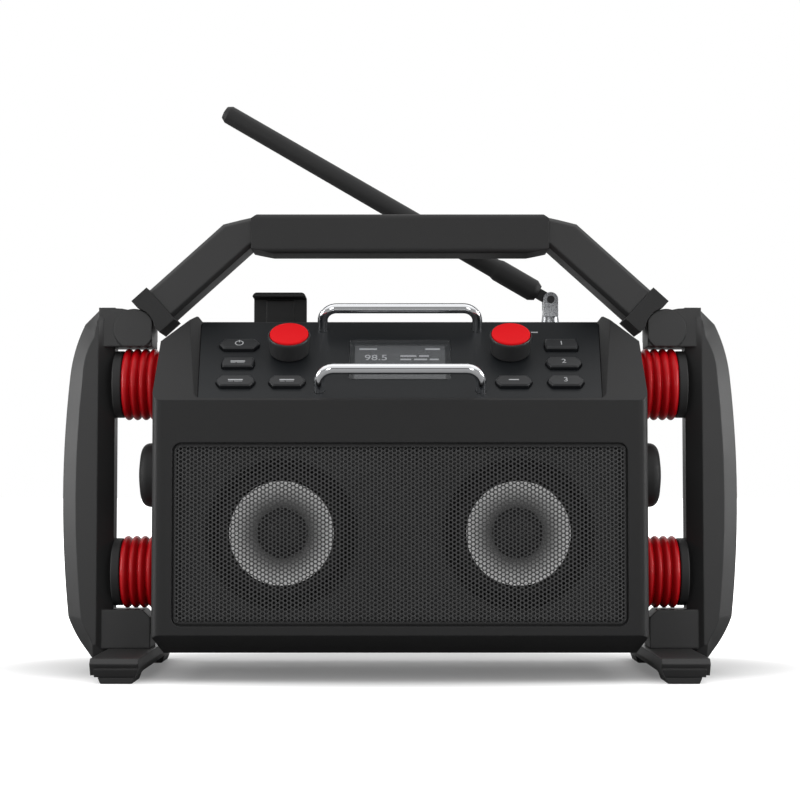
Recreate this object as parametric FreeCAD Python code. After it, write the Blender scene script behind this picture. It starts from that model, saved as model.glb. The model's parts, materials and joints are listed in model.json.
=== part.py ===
import FreeCAD, Part
import math
import os

from FreeCAD import Vector, Placement, Rotation

# Jobsite radio: a loudspeaker housing hung on four ribbed rubber dampers inside a roll hoop.
# Millimetres, +Z up, +X to the right seen from the front, front face towards -Y.
# The origin lies on the ground under the middle of the object.

# Roll hoop
overall_width = 430.0        # outer faces of the two side guards
overall_depth = 180.0        # length of a skid
cheek_top = 226.0            # top of the housing; the hoop and the handle follow it
hoop_depth = 32.0            # guards, front to back
guard_width = 32.5           # guard spine, inner face to outer face
damper_room = 33.0           # between a guard and the housing
guard_bottom = 8.0
guard_bulge = 4.0            # how far the outer line swells at its middle
guard_facet = 9.5            # width of the slanted strips along the guard
guard_facet_depth = 9.0
arm_depth = 26.0             # the guards hold the dampers between two short arms
hub_radius = 13.0
hub_proud = 1.5
hub_gap = 0.3
guard_outer = overall_width / 2
guard_inner = guard_outer - guard_width
housing_half_width = guard_inner - damper_room
guard_top = cheek_top + 6.0
guard_swell_z = guard_top * 0.483      # height of the widest place
arm_reach = housing_half_width + 8.5
hub_centre_x = guard_inner - hub_radius
hub_centre_z = cheek_top - 8.5
upper_arm_low = hub_centre_z - 11.0

# Handle
handle_top = cheek_top + 64.0
handle_thickness = 20.0
handle_depth = 30.0
handle_leg_thickness = 23.0
handle_edge = 2.4            # slant along the long edges
handle_shoulder_x = guard_outer - 102.0
handle_shoulder_z = handle_top - 5.1
handle_corner_x = handle_shoulder_x - 11.5
handle_corner_z = handle_top - 2.2
handle_flat = handle_corner_x - 10.0   # half length of the straight top
leg_end_x = hub_centre_x + 0.1         # outer corner of the leg, over the hub
leg_end_z = hub_centre_z + 16.2
grip_half_length = handle_shoulder_x - 18.0
grip_top_wall = 1.2
grip_side_wall = 1.5
grip_bottom_wall = 4.0
grip_end_slope = 13.5
grip_edge = 3.4
collar_length = 13.0
collar_wall = 2.0
collar_bolt_head = 4.6
collar_bolt_inset = 5.0      # the bolts come from behind and stop short of the front face

# Skids
skid_width = 29.0
skid_outer = guard_outer - 31.0
skid_inner = skid_outer - skid_width
skid_flange_low = 9.0
skid_flange_high = 15.0
skid_rise = 4.0              # the flange is this much deeper between its ends
foot_length = 40.0
foot_step = 2.4              # feet stand back from the outer edge of the flange
foot_pad_height = 4.0
foot_bevel = 2.5
skid_bolt_y = 8.0
skid_bolt_reach = 12.0

# Rubber dampers and bump stops
damper_radius = 23.0
damper_valley = 2.6          # depth of the folds
damper_upper_z = cheek_top - 43.0
damper_lower_z = 63.0
damper_folds = 5
damper_seat_thickness = 5.5
damper_seat_radius = 21.5
lower_arm_high = damper_lower_z - damper_radius - 0.5
stud_radius = 3.0
stud_head_radius = 6.5
stud_head_thickness = 4.0
stud_reach = 8.0             # how deep the damper bolts go into a guard
fit_clearance = 0.1
bump_stop_z = (damper_upper_z + damper_lower_z) / 2 + 1.8
bump_stop_radius = 20.5
bump_stop_reach = 17.4
bump_stop_lip = 3.0

# Housing
housing_half_depth = 80.0
housing_bottom = 16.4
housing_corner = 6.0
chin_top = 28.0              # slanted chin under the front face
chin_depth = 18.0
brow_top = cheek_top - 57.0
cheek_slope = 42.0
deck_height = cheek_top - 3.4
rear_slope_depth = 14.0
shoulder_x = housing_half_width - 19.5 # top corners are cut away to clear the handle legs
shoulder_z = cheek_top - 18.0
wall = 3.0
split_y = 12.0               # where front housing and rear cover meet

# Control panel, on a slope that starts at the brow
panel_slope = 38.0
panel_start_y = 1.0 - housing_half_depth
panel_start_z = brow_top - 1.7
panel_low = 2.5
panel_high = 89.7
panel_half_low = housing_half_width - 27.5
panel_half_high = panel_half_low + 5.0
panel_thickness = 3.0
panel_corner = 5.0
panel_gap = 0.2
ledge = 5.0                  # seat for the panel round the opening under it
floor_thickness = 3.0
board_thickness = 1.6
board_low = 9.0
board_high = 82.0
board_side_room = 9.0
board_post_low = 11.4
board_post_high = 78.0
board_depth = 10.4           # top of the board under the panel face
board_post_radius = 2.4

# Controls
knob_x = panel_half_low * 0.5648
knob_v = 55.0
knob_radius = 13.2
knob_base_radius = 12.2
knob_height = 13.4
knob_foot_gap = 0.6
knob_shaft_radius = 3.0
shaft_fit = 0.05
cap_radius = 12.0
cap_gap = 0.35
cap_height = 15.0
cap_thickness = 2.8
cap_travel = 0.8
encoder_size = 14.0
key_height = 2.6
key_flange = 1.2
key_margin = 1.4
key_gap = 0.4
key_travel = 1.2
key_stem = 1.8
key_stem_radius = 2.2
key_rounding = 0.8
switch_gap = 0.2
switch_size = 6.0
display_half_width = 31.5
display_low = 25.0
display_high = 69.0
lens_thickness = 1.6
lens_gap = 0.2
lens_corner = 1.8
lens_border = 3.0            # width of the step that the window rests on

# Guard rails over the display
rail_radius = 3.25
rail_half_width = panel_half_low * 0.4016
rail_height = 16.0
rail_bend = 9.0
rail_front_v = 12.8
rail_rear_v = 81.0
rail_root = 6.0

# Front grille and speakers
grille_half_width = housing_half_width - 12.7
grille_low = 33.5
grille_high = brow_top - 25.6
grille_corner = 5.5
grille_gap = 0.8
grille_thickness = 1.2
grille_seat = 2.0
grille_border = 3.0          # width of the seat round the mouth behind the grille
grille_lip = 1.0
plain_rim = 8.0              # sheet without holes round the edge
hole_pitch = 9.0
hole_size = 6.6
speaker_x = grille_half_width * 0.5212
speaker_z = (grille_low + grille_high) / 2 + 0.5
speaker_radius = (grille_high - grille_low) * 0.4095
surround_radius = speaker_radius - 6.5
cone_radius = surround_radius - 7.0
dust_cap_radius = cone_radius * 0.476
cone_depth = 14.0
magnet_radius = speaker_radius * 0.622
magnet_length = 16.0
basket_depth = 28.0
baffle_thickness = 4.0
baffle_gap = 4.0

# Antenna
antenna_x = panel_half_high - 25.5
antenna_y = housing_half_depth - 20.0
antenna_pivot_z = deck_height + 20.9
antenna_length = 256.0
antenna_angle = 30.2
antenna_tip_radius = 6.2
antenna_root_radius = 7.5
antenna_collar_length = 34.0
post_radius = 6.4
post_top_radius = 5.2
base_radius = 9.0
base_height = 2.4
fork_half = 6.8
fork_slot = 3.2
antenna_pin_radius = 1.6
antenna_pin_fit = 0.05

# Phone clamp
clamp_left = 30.0 - panel_half_high
clamp_right = clamp_left + 35.0
clamp_y = housing_half_depth - 42.0
clamp_plate = 3.0
clamp_top = deck_height + 22.4
clamp_lip = 15.0
clamp_lip_thickness = 3.0
clamp_corner = 3.0
clamp_stem_half = 10.0
clamp_guide_low = deck_height - 48.6
clamp_stem_low = clamp_guide_low - 6.0
slide_gap = 0.5
guide_wall = 2.5

# Battery bay and rear door
bay_half_width = 66.0
bay_low = 58.0
bay_high = brow_top - 7.0
bay_depth = 48.0
door_gap = 0.6
door_thickness = 4.0
door_axis_z = 61.6
hinge_radius = 3.2
hinge_pin_radius = 1.5
hinge_fit = 0.05
hinge_y = housing_half_depth - 3.0
knuckle_length = 20.0
door_rib_pitch = 40.0
knuckle_x = 40.0
pull_half = 16.0
pull_height = 9.0
seal_width = 2.6
seal_depth = 1.3
battery_half_width = 58.0
battery_height = 78.0
battery_depth = 38.0

# Amplifier board on the floor of the housing
amplifier_half_length = 70.0
amplifier_front = -36.0
amplifier_lift = 6.0
sink_x = -25.0
sink_y = -18.0
sink_half_width = 15.0
sink_half_depth = 12.0
sink_top = 24.0
coil_x = 24.0
coil_radius = 9.0
coil_top = 20.0

# Mains inlet
inlet_x = housing_half_width - 39.5
inlet_z = 60.0
inlet_half_width = 11.0
inlet_half_height = 7.5
inlet_depth = 16.0
pin_spread = 3.6
pin_radius = 1.2

screw_radius = 2.0
screw_head_radius = 3.8

beyond = 2 * overall_width   # reaches past the whole object, for cutting
skid_half = overall_depth / 2
panel_turn = Rotation(Vector(1, 0, 0), panel_slope)
panel_origin = Vector(0, panel_start_y, panel_start_z)
switch_top = panel_thickness + key_flange + key_stem + key_travel + switch_gap


# Plain shape makers

def box(x0, x1, y0, y1, z0, z1):
    return Part.makeBox(x1 - x0, y1 - y0, z1 - z0, Vector(x0, y0, z0))


def polygon_face(points):
    return Part.Face(Part.makePolygon(points + [points[0]]))


def prism_x(points, x0, x1):
    """Solid from an outline of (y, z) points."""
    face = polygon_face([Vector(x0, y, z) for y, z in points])
    return face.extrude(Vector(x1 - x0, 0, 0))


def prism_y(points, y0, y1):
    """Solid from an outline of (x, z) points."""
    face = polygon_face([Vector(x, y0, z) for x, z in points])
    return face.extrude(Vector(0, y1 - y0, 0))


def prism_z(points, z0, z1):
    """Solid from an outline of (x, y) points."""
    face = polygon_face([Vector(x, y, z0) for x, y in points])
    return face.extrude(Vector(0, 0, z1 - z0))


def rounded_outline(points, radius, z=0.0):
    """Closed wire through (x, y) points with every corner rounded."""
    edges = []
    count = len(points)
    ends = []
    for i in range(count):
        here = Vector(points[i][0], points[i][1], z)
        before = Vector(points[i - 1][0], points[i - 1][1], z)
        after = Vector(points[(i + 1) % count][0], points[(i + 1) % count][1], z)
        back = (before - here).normalize()
        on = (after - here).normalize()
        half = back.getAngle(on) / 2
        reach = radius / math.tan(half)
        middle = (back + on).normalize()
        centre = here + middle * (radius / math.sin(half))
        ends.append((here + back * reach, centre - middle * radius, here + on * reach))
    for i in range(count):
        start, through, stop = ends[i]
        edges.append(Part.Arc(start, through, stop).toShape())
        edges.append(Part.LineSegment(stop, ends[(i + 1) % count][0]).toShape())
    return Part.Wire(edges)


def rounded_prism(points, radius, z0, z1):
    face = Part.Face(rounded_outline(points, radius, z0))
    return face.extrude(Vector(0, 0, z1 - z0))


def rectangle(x0, x1, y0, y1):
    return [(x0, y0), (x1, y0), (x1, y1), (x0, y1)]


def facing_front(shape, y):
    """Lay a shape drawn in X, Y so that its Y runs up and its Z runs to the back from y."""
    turned = shape.copy()
    turned.Placement = Placement(Vector(0, y, 0), Rotation(Vector(1, 0, 0), 90))
    mirrored = turned.mirror(Vector(0, y, 0), Vector(0, 1, 0))
    return mirrored


def turned_shape(profile, place, axis):
    """Full revolve of a closed (radius, height) outline round an axis through a place."""
    face = polygon_face([Vector(r, 0, h) for r, h in profile])
    solid = face.revolve(Vector(0, 0, 0), Vector(0, 0, 1), 360)
    solid.Placement = Placement(place, Rotation(Vector(0, 0, 1), axis))
    return solid


def rod(radius, start, stop):
    line = stop - start
    return Part.makeCylinder(radius, line.Length, start, line)


def on_panel(shape, x, v, n=0.0):
    """Move a shape drawn at the origin to a place on the sloping panel."""
    moved = shape.copy()
    place = Placement(panel_origin, panel_turn).multiply(Placement(Vector(x, v, n), Rotation()))
    moved.Placement = place.multiply(moved.Placement)
    return moved


def inset(points, distance):
    """Outline moved inwards by one distance; points run anticlockwise."""
    result = []
    count = len(points)
    for i in range(count):
        ax, ay = points[i - 1]
        bx, by = points[i]
        cx, cy = points[(i + 1) % count]
        first = math.hypot(bx - ax, by - ay)
        second = math.hypot(cx - bx, cy - by)
        n1 = (-(by - ay) / first, (bx - ax) / first)
        n2 = (-(cy - by) / second, (cx - bx) / second)
        scale = distance / (1 + n1[0] * n2[0] + n1[1] * n2[1])
        result.append((bx + (n1[0] + n2[0]) * scale, by + (n1[1] + n2[1]) * scale))
    return result


def mirrored_x(shape):
    return shape.mirror(Vector(0, 0, 0), Vector(1, 0, 0))


def both_sides(shape):
    return [shape, mirrored_x(shape)]


# Housing

def housing_side_outline():
    rise = cheek_top - brow_top
    run = rise / math.tan(math.radians(cheek_slope))
    front = -housing_half_depth
    back = housing_half_depth
    return [
        (front + chin_depth, housing_bottom),
        (back - chin_depth, housing_bottom),
        (back, chin_top),
        (back, cheek_top - rear_slope_depth),
        (back - rear_slope_depth, cheek_top),
        (front + run, cheek_top),
        (front, brow_top),
        (front, chin_top),
    ]


def housing_front_outline():
    edge = housing_half_width
    return [
        (-edge + housing_corner, housing_bottom),
        (edge - housing_corner, housing_bottom),
        (edge, housing_bottom + 2 * housing_corner),
        (edge, shoulder_z),
        (shoulder_x, cheek_top),
        (-shoulder_x, cheek_top),
        (-edge, shoulder_z),
        (-edge, housing_bottom + 2 * housing_corner),
    ]


def housing_block():
    side = prism_x(housing_side_outline(), -housing_half_width, housing_half_width)
    front = prism_y(housing_front_outline(), -housing_half_depth, housing_half_depth)
    plan = rounded_prism(
        rectangle(-housing_half_width, housing_half_width, -housing_half_depth, housing_half_depth),
        housing_corner, housing_bottom, cheek_top)
    return side.common(front).common(plan)


def valley():
    """What is cut away between the cheeks, above the panel and the deck, with slanted walls."""
    spread = 16.0
    top = panel_high + 20.0
    floor = [(-panel_half_low, panel_low), (panel_half_low, panel_low),
             (panel_half_high + panel_gap, top), (-panel_half_high - panel_gap, top)]
    high = [(-panel_half_low - spread, panel_low - 2.0), (panel_half_low + spread, panel_low - 2.0),
            (panel_half_high + spread, top), (-panel_half_high - spread, top)]
    lower = rounded_outline(floor, panel_corner)
    upper = rounded_outline(high, panel_corner, spread)
    slope = on_panel(Part.makeLoft([lower, upper], True, True), 0, 0)
    width = panel_half_high + panel_gap
    deck = prism_y([(-width, deck_height), (width, deck_height),
                    (width + spread, deck_height + spread), (-width - spread, deck_height + spread)],
                   deck_front_y(), housing_half_depth + 1)
    return slope.fuse(deck)


def deck_front_y():
    return panel_start_y + (deck_height - panel_start_z) / math.tan(math.radians(panel_slope))


def panel_outline(grow):
    return [(-panel_half_low - grow, panel_low - grow), (panel_half_low + grow, panel_low - grow),
            (panel_half_high + grow, panel_high + grow), (-panel_half_high - grow, panel_high + grow)]


def housing_cavity():
    slope = math.tan(math.radians(panel_slope))
    drop = (panel_thickness + floor_thickness) / math.cos(math.radians(panel_slope))
    front = -housing_half_depth + wall
    back = housing_half_depth - wall
    low = housing_bottom + wall
    high = deck_height - floor_thickness
    slope_start = panel_start_z + (front - panel_start_y) * slope - drop
    slope_end = panel_start_y + (high - panel_start_z + drop) / slope
    rear_top = cheek_top - rear_slope_depth - wall
    side = prism_x([(front + chin_depth, low), (back - chin_depth, low), (back, chin_top),
                    (back, rear_top), (back - (high - rear_top), high), (slope_end, high),
                    (front, slope_start), (front, chin_top)],
                   -housing_half_width + wall, housing_half_width - wall)
    across = prism_y(inset(housing_front_outline(), wall), -housing_half_depth, housing_half_depth)
    return side.common(across)


def grille_outline(shrink):
    return rectangle(-grille_half_width + shrink, grille_half_width - shrink,
                     grille_low + shrink, grille_high - shrink)


def damper_holes():
    holes = []
    for z in (damper_upper_z, damper_lower_z):
        reach = housing_half_width + 1
        holes.append(rod(stud_radius + fit_clearance, Vector(-reach, 0, z), Vector(reach, 0, z)))
    return holes


def screw_places():
    places = []
    side = housing_half_width - 21.5
    for x in (-side, side):
        for z in (chin_top + 8.0, cheek_top - 25.0):
            places.append((x, z))
    return places


def make_front_housing():
    shell = housing_block().cut(housing_cavity())
    shell = shell.common(box(-beyond, beyond, -beyond, split_y, 0, beyond))
    cuts = [valley()]
    pocket = rounded_prism(panel_outline(panel_gap), panel_corner, -panel_thickness, 1.0)
    cuts.append(on_panel(pocket, 0, 0))
    window = rounded_prism(panel_outline(-ledge), panel_corner, -panel_thickness - 20, 1.0)
    cuts.append(on_panel(window, 0, 0).common(
        box(-beyond, beyond, -housing_half_depth + wall, beyond, 0, beyond)))
    front = -housing_half_depth
    seat = rounded_prism(grille_outline(0), grille_corner, 0, grille_seat)
    cuts.append(facing_front(seat, front))
    mouth = rounded_prism(grille_outline(grille_border), grille_corner - 2.0, 0, wall + 1)
    cuts.append(facing_front(mouth, front))
    cuts.extend(damper_holes())
    shell = shell.cut(cuts)
    bosses = []
    for x, z in screw_places():
        boss = rod(5.0, Vector(x, split_y - 24, z), Vector(x, split_y, z))
        arm = box(min(x, math.copysign(housing_half_width - wall, x)),
                  max(x, math.copysign(housing_half_width - wall, x)),
                  split_y - 24, split_y, z - 1.5, z + 1.5)
        bosses.append(boss.fuse(arm))
    shell = shell.fuse(bosses)
    drill = [rod(screw_radius + fit_clearance, Vector(x, split_y - 20, z), Vector(x, split_y + 1, z))
             for x, z in screw_places()]
    return shell.cut(drill).removeSplitter()


def make_rear_cover():
    shell = housing_block().cut(housing_cavity())
    shell = shell.common(box(-beyond, beyond, split_y, beyond, 0, beyond))
    back = housing_half_depth
    bay_front = back - bay_depth
    cuts = [valley()]
    bay = box(-bay_half_width, bay_half_width, bay_front, back + 1, bay_low, bay_high)
    outer = box(-bay_half_width - wall, bay_half_width + wall, bay_front - wall, back - 1,
                bay_low - wall, bay_high + wall)
    shell = shell.fuse(outer)
    for x, z in screw_places():
        boss = rod(5.5, Vector(x, split_y, z), Vector(x, back - 2, z))
        shell = shell.fuse(boss)
        shell = shell.cut(rod(screw_radius + 0.4, Vector(x, split_y - 1, z), Vector(x, back + 1, z)))
        shell = shell.cut(rod(screw_head_radius + 0.4, Vector(x, back - 8, z), Vector(x, back + 1, z)))
    cuts.append(bay)
    slot_half = clamp_stem_half + slide_gap
    middle = (clamp_left + clamp_right) / 2
    cuts.append(box(middle - slot_half, middle + slot_half, clamp_y - slide_gap,
                    clamp_y + clamp_plate + slide_gap, clamp_guide_low, deck_height + 1))
    cuts.append(rod(post_radius - 2 + fit_clearance, Vector(antenna_x, antenna_y, deck_height - 6),
                    Vector(antenna_x, antenna_y, deck_height + 1)))
    cuts.append(box(inlet_x - inlet_half_width, inlet_x + inlet_half_width, back - wall - 1, back + 1,
                    inlet_z - inlet_half_height, inlet_z + inlet_half_height))
    shell = shell.cut(cuts)
    knuckle = hinge_knuckle(-8.0, 8.0).fuse(
        box(-8.0, 8.0, hinge_y - hinge_radius, hinge_y + hinge_radius, bay_low - 1, door_axis_z))
    relief = rod(hinge_pin_radius + fit_clearance, Vector(-9, hinge_y, door_axis_z),
                 Vector(9, hinge_y, door_axis_z))
    return shell.fuse(knuckle).cut(relief).removeSplitter()


def hinge_knuckle(x0, x1):
    return rod(hinge_radius, Vector(x0, hinge_y, door_axis_z), Vector(x1, hinge_y, door_axis_z))


def make_housing_screws():
    screws = []
    back = housing_half_depth
    for x, z in screw_places():
        shank = rod(screw_radius, Vector(x, split_y - 18, z), Vector(x, back - 8, z))
        head = rod(screw_head_radius, Vector(x, back - 8, z), Vector(x, back - 5, z))
        screws.append(shank.fuse(head).removeSplitter())
    return screws


# Dampers and hoop

def damper_profile():
    """Bellows outline: folds between two flat ends, round the X axis."""
    length = damper_length()
    pitch = length / damper_folds
    points = [(stud_radius + fit_clearance, 0.0)]
    for i in range(damper_folds):
        start = i * pitch
        points.append((damper_radius - damper_valley, start))
        points.append((damper_radius - 0.5, start + pitch * 0.28))
        points.append((damper_radius, start + pitch * 0.5))
        points.append((damper_radius - 0.5, start + pitch * 0.72))
    points.append((damper_radius - damper_valley, length))
    points.append((stud_radius + fit_clearance, length))
    return points


def damper_length():
    return guard_inner - damper_seat_thickness - housing_half_width


def make_damper(z):
    return turned_shape(damper_profile(), Vector(housing_half_width, 0, z), Vector(1, 0, 0))


def make_damper_seats():
    seats = []
    for z in (damper_upper_z, damper_lower_z):
        start = guard_inner - damper_seat_thickness
        disc = rod(damper_seat_radius, Vector(start, 0, z), Vector(guard_inner, 0, z))
        hole = rod(stud_radius + fit_clearance, Vector(start - 1, 0, z), Vector(guard_inner + 1, 0, z))
        seats.extend(both_sides(disc.cut(hole)))
    return seats


def make_damper_bolts():
    bolts = []
    inner = housing_half_width - wall
    for z in (damper_upper_z, damper_lower_z):
        shank = rod(stud_radius, Vector(inner, 0, z), Vector(guard_inner + stud_reach, 0, z))
        head = rod(stud_head_radius, Vector(inner - stud_head_thickness, 0, z), Vector(inner, 0, z))
        bolts.extend(both_sides(shank.fuse(head).removeSplitter()))
    return bolts


def make_bump_stops():
    """Round rubber domes, each part of a ball that sits on a short straight rim."""
    rise = bump_stop_reach - bump_stop_lip
    ball = (bump_stop_radius ** 2 + rise ** 2) / (2 * rise)
    centre = bump_stop_reach - ball
    edge = Vector(housing_half_width, 0, bump_stop_z)
    rim = rod(bump_stop_radius, edge, edge + Vector(bump_stop_reach + 1, 0, 0))
    sphere = Part.makeSphere(ball, edge + Vector(centre, 0, 0))
    return both_sides(rim.common(sphere))


def guard_wire(y, shrink):
    """Spine outline in a plane of one y, moved inwards by shrink; its outer line swells."""
    outer = guard_outer - shrink
    inner = guard_inner + shrink
    top = guard_top - shrink
    low = guard_bottom + shrink
    top_knee = Vector(outer - guard_bulge, y, guard_top - 44)
    low_knee = Vector(outer - guard_bulge, y, guard_bottom + 27)
    high_middle = Vector(guard_outer - 8.2 - shrink * 0.82, y, guard_top - 24 - shrink * 0.6)
    shoulder = Vector(guard_outer - 13.4 - shrink * 0.75, y, guard_top - 11 - shrink * 0.95)
    crown = Vector(guard_outer - 24.2 + shrink * 0.2, y, top)
    low_middle = Vector(guard_outer - 8.4 - shrink * 0.76, y, guard_bottom + 17 + shrink * 0.39)
    heel = Vector(guard_outer - 14.0 - shrink * 0.5, y, guard_bottom + 8 + shrink * 0.75)
    toe = Vector(guard_outer - 20.0 - shrink * 0.1, y, low)
    side = Part.Arc(low_knee, Vector(outer, y, guard_swell_z), top_knee).toShape()
    high_bend = Part.Arc(top_knee, high_middle, shoulder).toShape()
    crown_cut = Part.LineSegment(shoulder, crown).toShape()
    crown_flat = Part.LineSegment(crown, Vector(inner, y, top)).toShape()
    face = Part.LineSegment(Vector(inner, y, top), Vector(inner, y, low)).toShape()
    base = Part.LineSegment(Vector(inner, y, low), toe).toShape()
    toe_cut = Part.LineSegment(toe, heel).toShape()
    low_bend = Part.Arc(heel, low_middle, low_knee).toShape()
    return Part.Wire([side, high_bend, crown_cut, crown_flat, face, base, toe_cut, low_bend])


def upper_arm_outline():
    into = guard_inner + guard_facet
    return [(arm_reach, upper_arm_low), (into, upper_arm_low), (into, guard_top - 0.6),
            (guard_inner - 5, guard_top - 1.2), (hub_centre_x + 2, guard_top - 2.3),
            (arm_reach, hub_centre_z)]


def hub_room():
    """Space that both upper arms and their hubs take up across the whole depth of the handle."""
    arm = prism_y(upper_arm_outline(), -hoop_depth, hoop_depth)
    hub = rod(hub_radius + hub_gap, Vector(hub_centre_x, -hoop_depth, hub_centre_z),
              Vector(hub_centre_x, hoop_depth, hub_centre_z))
    return both_sides(arm.fuse(hub))


def make_guard():
    half = hoop_depth / 2
    inner = half - guard_facet_depth
    wires = [guard_wire(-half, guard_facet), guard_wire(-inner, 0), guard_wire(inner, 0),
             guard_wire(half, guard_facet)]
    spine = Part.makeLoft(wires, True, True)
    arm_half = arm_depth / 2
    into = guard_inner + guard_facet
    upper = prism_y(upper_arm_outline(), -arm_half, arm_half)
    hub = rod(hub_radius, Vector(hub_centre_x, -arm_half - hub_proud, hub_centre_z),
              Vector(hub_centre_x, arm_half + hub_proud, hub_centre_z))
    hub = hub.common(box(arm_reach, into, -hoop_depth, hoop_depth, upper_arm_low, beyond))
    lower = prism_y([(arm_reach, skid_flange_high), (into, skid_flange_high), (into, lower_arm_high),
                     (arm_reach + 5, lower_arm_high), (arm_reach, lower_arm_high - 5)],
                    -arm_half, arm_half)
    guard = spine.fuse([upper, hub, lower])
    cuts = []
    for z in (damper_upper_z, damper_lower_z):
        cuts.append(rod(stud_radius + fit_clearance, Vector(guard_inner - 2, 0, z),
                        Vector(guard_inner + stud_reach + 0.2, 0, z)))
    room = box(0, skid_outer + 0.4, -skid_half - 1, skid_half + 1, -1, skid_flange_high)
    cuts.append(room)
    for x, y in skid_bolt_places():
        cuts.append(rod(screw_radius + fit_clearance, Vector(x, y, skid_flange_high - 1),
                        Vector(x, y, skid_flange_high + skid_bolt_reach + 0.2)))
    return guard.cut(cuts).removeSplitter()


def leg_direction():
    return Vector(leg_end_x - handle_shoulder_x, 0, leg_end_z - handle_shoulder_z).normalize()


def leg_across():
    """Square to the leg, pointing down and towards the housing."""
    along = leg_direction()
    return Vector(along.z, 0, -along.x)


def leg_block(length, grow):
    """Block along the end of a handle leg, wider than the leg by grow all round."""
    along = leg_direction()
    across = leg_across()
    half = handle_depth / 2 + grow
    a = Vector(leg_end_x, -half, leg_end_z) - across * grow
    b = a - along * length
    c = b + across * (handle_leg_thickness + 2 * grow)
    d = a + across * (handle_leg_thickness + 2 * grow)
    return polygon_face([a, b, c, d]).extrude(Vector(0, 2 * half, 0))


def handle_outline():
    """Outline of the handle in X, Z: over the top to the right leg end and back underneath."""
    along = leg_direction()
    low = handle_top - handle_thickness
    foot = Vector(leg_end_x, 0, leg_end_z) + leg_across() * handle_leg_thickness
    knee = foot + along * ((low - foot.z) / along.z)
    right = [(handle_flat, handle_top), (handle_corner_x, handle_corner_z),
             (handle_shoulder_x, handle_shoulder_z), (leg_end_x, leg_end_z), (foot.x, foot.z), (knee.x, low)]
    left = [(-x, z) for x, z in reversed(right)]
    return right + left


def handle_core():
    """The bent bar with slanted edges, before the hubs and bolt holes are cut."""
    half = handle_depth / 2
    solid = prism_y(handle_outline(), -half, half)
    edges = [e for e in solid.Edges if abs(abs(e.CenterOfMass.y) - half) < 0.01
             and abs(e.CenterOfMass.x) < leg_end_x - handle_leg_thickness]
    return solid.makeChamfer(handle_edge, edges)


def make_handle_bar():
    x, z = collar_bolt_place()
    front = -handle_depth / 2 + collar_bolt_inset - 0.3
    hole = rod(stud_radius + fit_clearance, Vector(x, front, z), Vector(x, handle_depth, z))
    return handle_core().cut(both_sides(hole) + hub_room())


def make_handle_grip():
    low = handle_top - handle_thickness
    outer_low = low - grip_bottom_wall
    top = handle_top + grip_top_wall
    half = handle_depth / 2 + grip_side_wall
    end = grip_half_length
    slope_end = end - grip_end_slope
    sleeve = prism_y([(-end, low - 1.0), (-slope_end, outer_low), (slope_end, outer_low), (end, low - 1.0),
                      (end, handle_top - 1.5), (end - 3.5, top), (-end + 3.5, top), (-end, handle_top - 1.5)],
                     -half, half)
    edges = [e for e in sleeve.Edges
             if abs(abs(e.CenterOfMass.y) - half) < 0.01 and e.Length > grip_half_length]
    return sleeve.makeFillet(grip_edge, edges).cut(handle_core())


def collar_bolt_place():
    end = Vector(leg_end_x, 0, leg_end_z) + leg_across() * (handle_leg_thickness / 2)
    place = end - leg_direction() * (collar_length / 2 + 3.0)
    return place.x, place.z


def make_handle_collars():
    solid = prism_y(handle_outline(), -handle_depth / 2, handle_depth / 2)
    collar = leg_block(collar_length, collar_wall).cut([solid] + hub_room())
    x, z = collar_bolt_place()
    collar = collar.cut(rod(stud_radius + fit_clearance, Vector(x, 0, z), Vector(x, handle_depth, z)))
    return both_sides(collar)


def make_collar_bolts():
    x, z = collar_bolt_place()
    back = handle_depth / 2 + collar_wall
    shank = rod(stud_radius, Vector(x, -handle_depth / 2 + collar_bolt_inset, z), Vector(x, back, z))
    head = rod(collar_bolt_head, Vector(x, back, z), Vector(x, back + 2.2, z))
    socket = rod(2.0, Vector(x, back + 1, z), Vector(x, back + 3, z))
    return both_sides(shank.fuse(head).cut(socket).removeSplitter())


def skid_bolt_places():
    return [((skid_inner + skid_outer) / 2, y) for y in (-skid_bolt_y, skid_bolt_y)]


def make_skid():
    """Long flange with a shaped foot at each end and a hollow between them."""
    half = skid_half
    belly = skid_flange_low - skid_rise
    flange = prism_x([(-half, skid_flange_high - 3), (-half + 4, belly), (half - 4, belly),
                      (half, skid_flange_high - 3), (half - 3, skid_flange_high),
                      (-half + 3, skid_flange_high)], skid_inner, skid_outer)
    feet = []
    for sign in (-1, 1):
        near = sign * (half - foot_length)
        far = sign * half
        foot = prism_x([(near, skid_flange_low), (near + sign * 5, foot_pad_height),
                        (far - sign * 3, foot_pad_height), (far, skid_flange_low)],
                       skid_inner, skid_outer - foot_step)
        feet.append(foot)
    skid = flange.fuse(feet)
    bevel = prism_y([(skid_inner - 1, -1), (skid_inner + foot_bevel, -1),
                     (skid_inner + foot_bevel, foot_pad_height), (skid_inner, skid_flange_low),
                     (skid_inner - 1, skid_flange_low)], -half - 1, half + 1)
    skid = skid.cut(bevel)
    for x, y in skid_bolt_places():
        high = skid_flange_high + 1
        skid = skid.cut(rod(screw_radius + fit_clearance, Vector(x, y, 0), Vector(x, y, high)))
    return skid.removeSplitter()


def make_foot_pads():
    pads = []
    half = skid_half
    for sign in (-1, 1):
        y0 = sign * (half - foot_length + 5)
        y1 = sign * (half - 3)
        pad = prism_y([(skid_inner + foot_bevel, foot_pad_height), (skid_inner + foot_bevel + 1.5, 0),
                       (skid_outer - foot_step - 3.6, 0), (skid_outer - foot_step - 2, foot_pad_height)],
                      min(y0, y1), max(y0, y1))
        pads.extend(both_sides(pad))
    return pads


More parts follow.
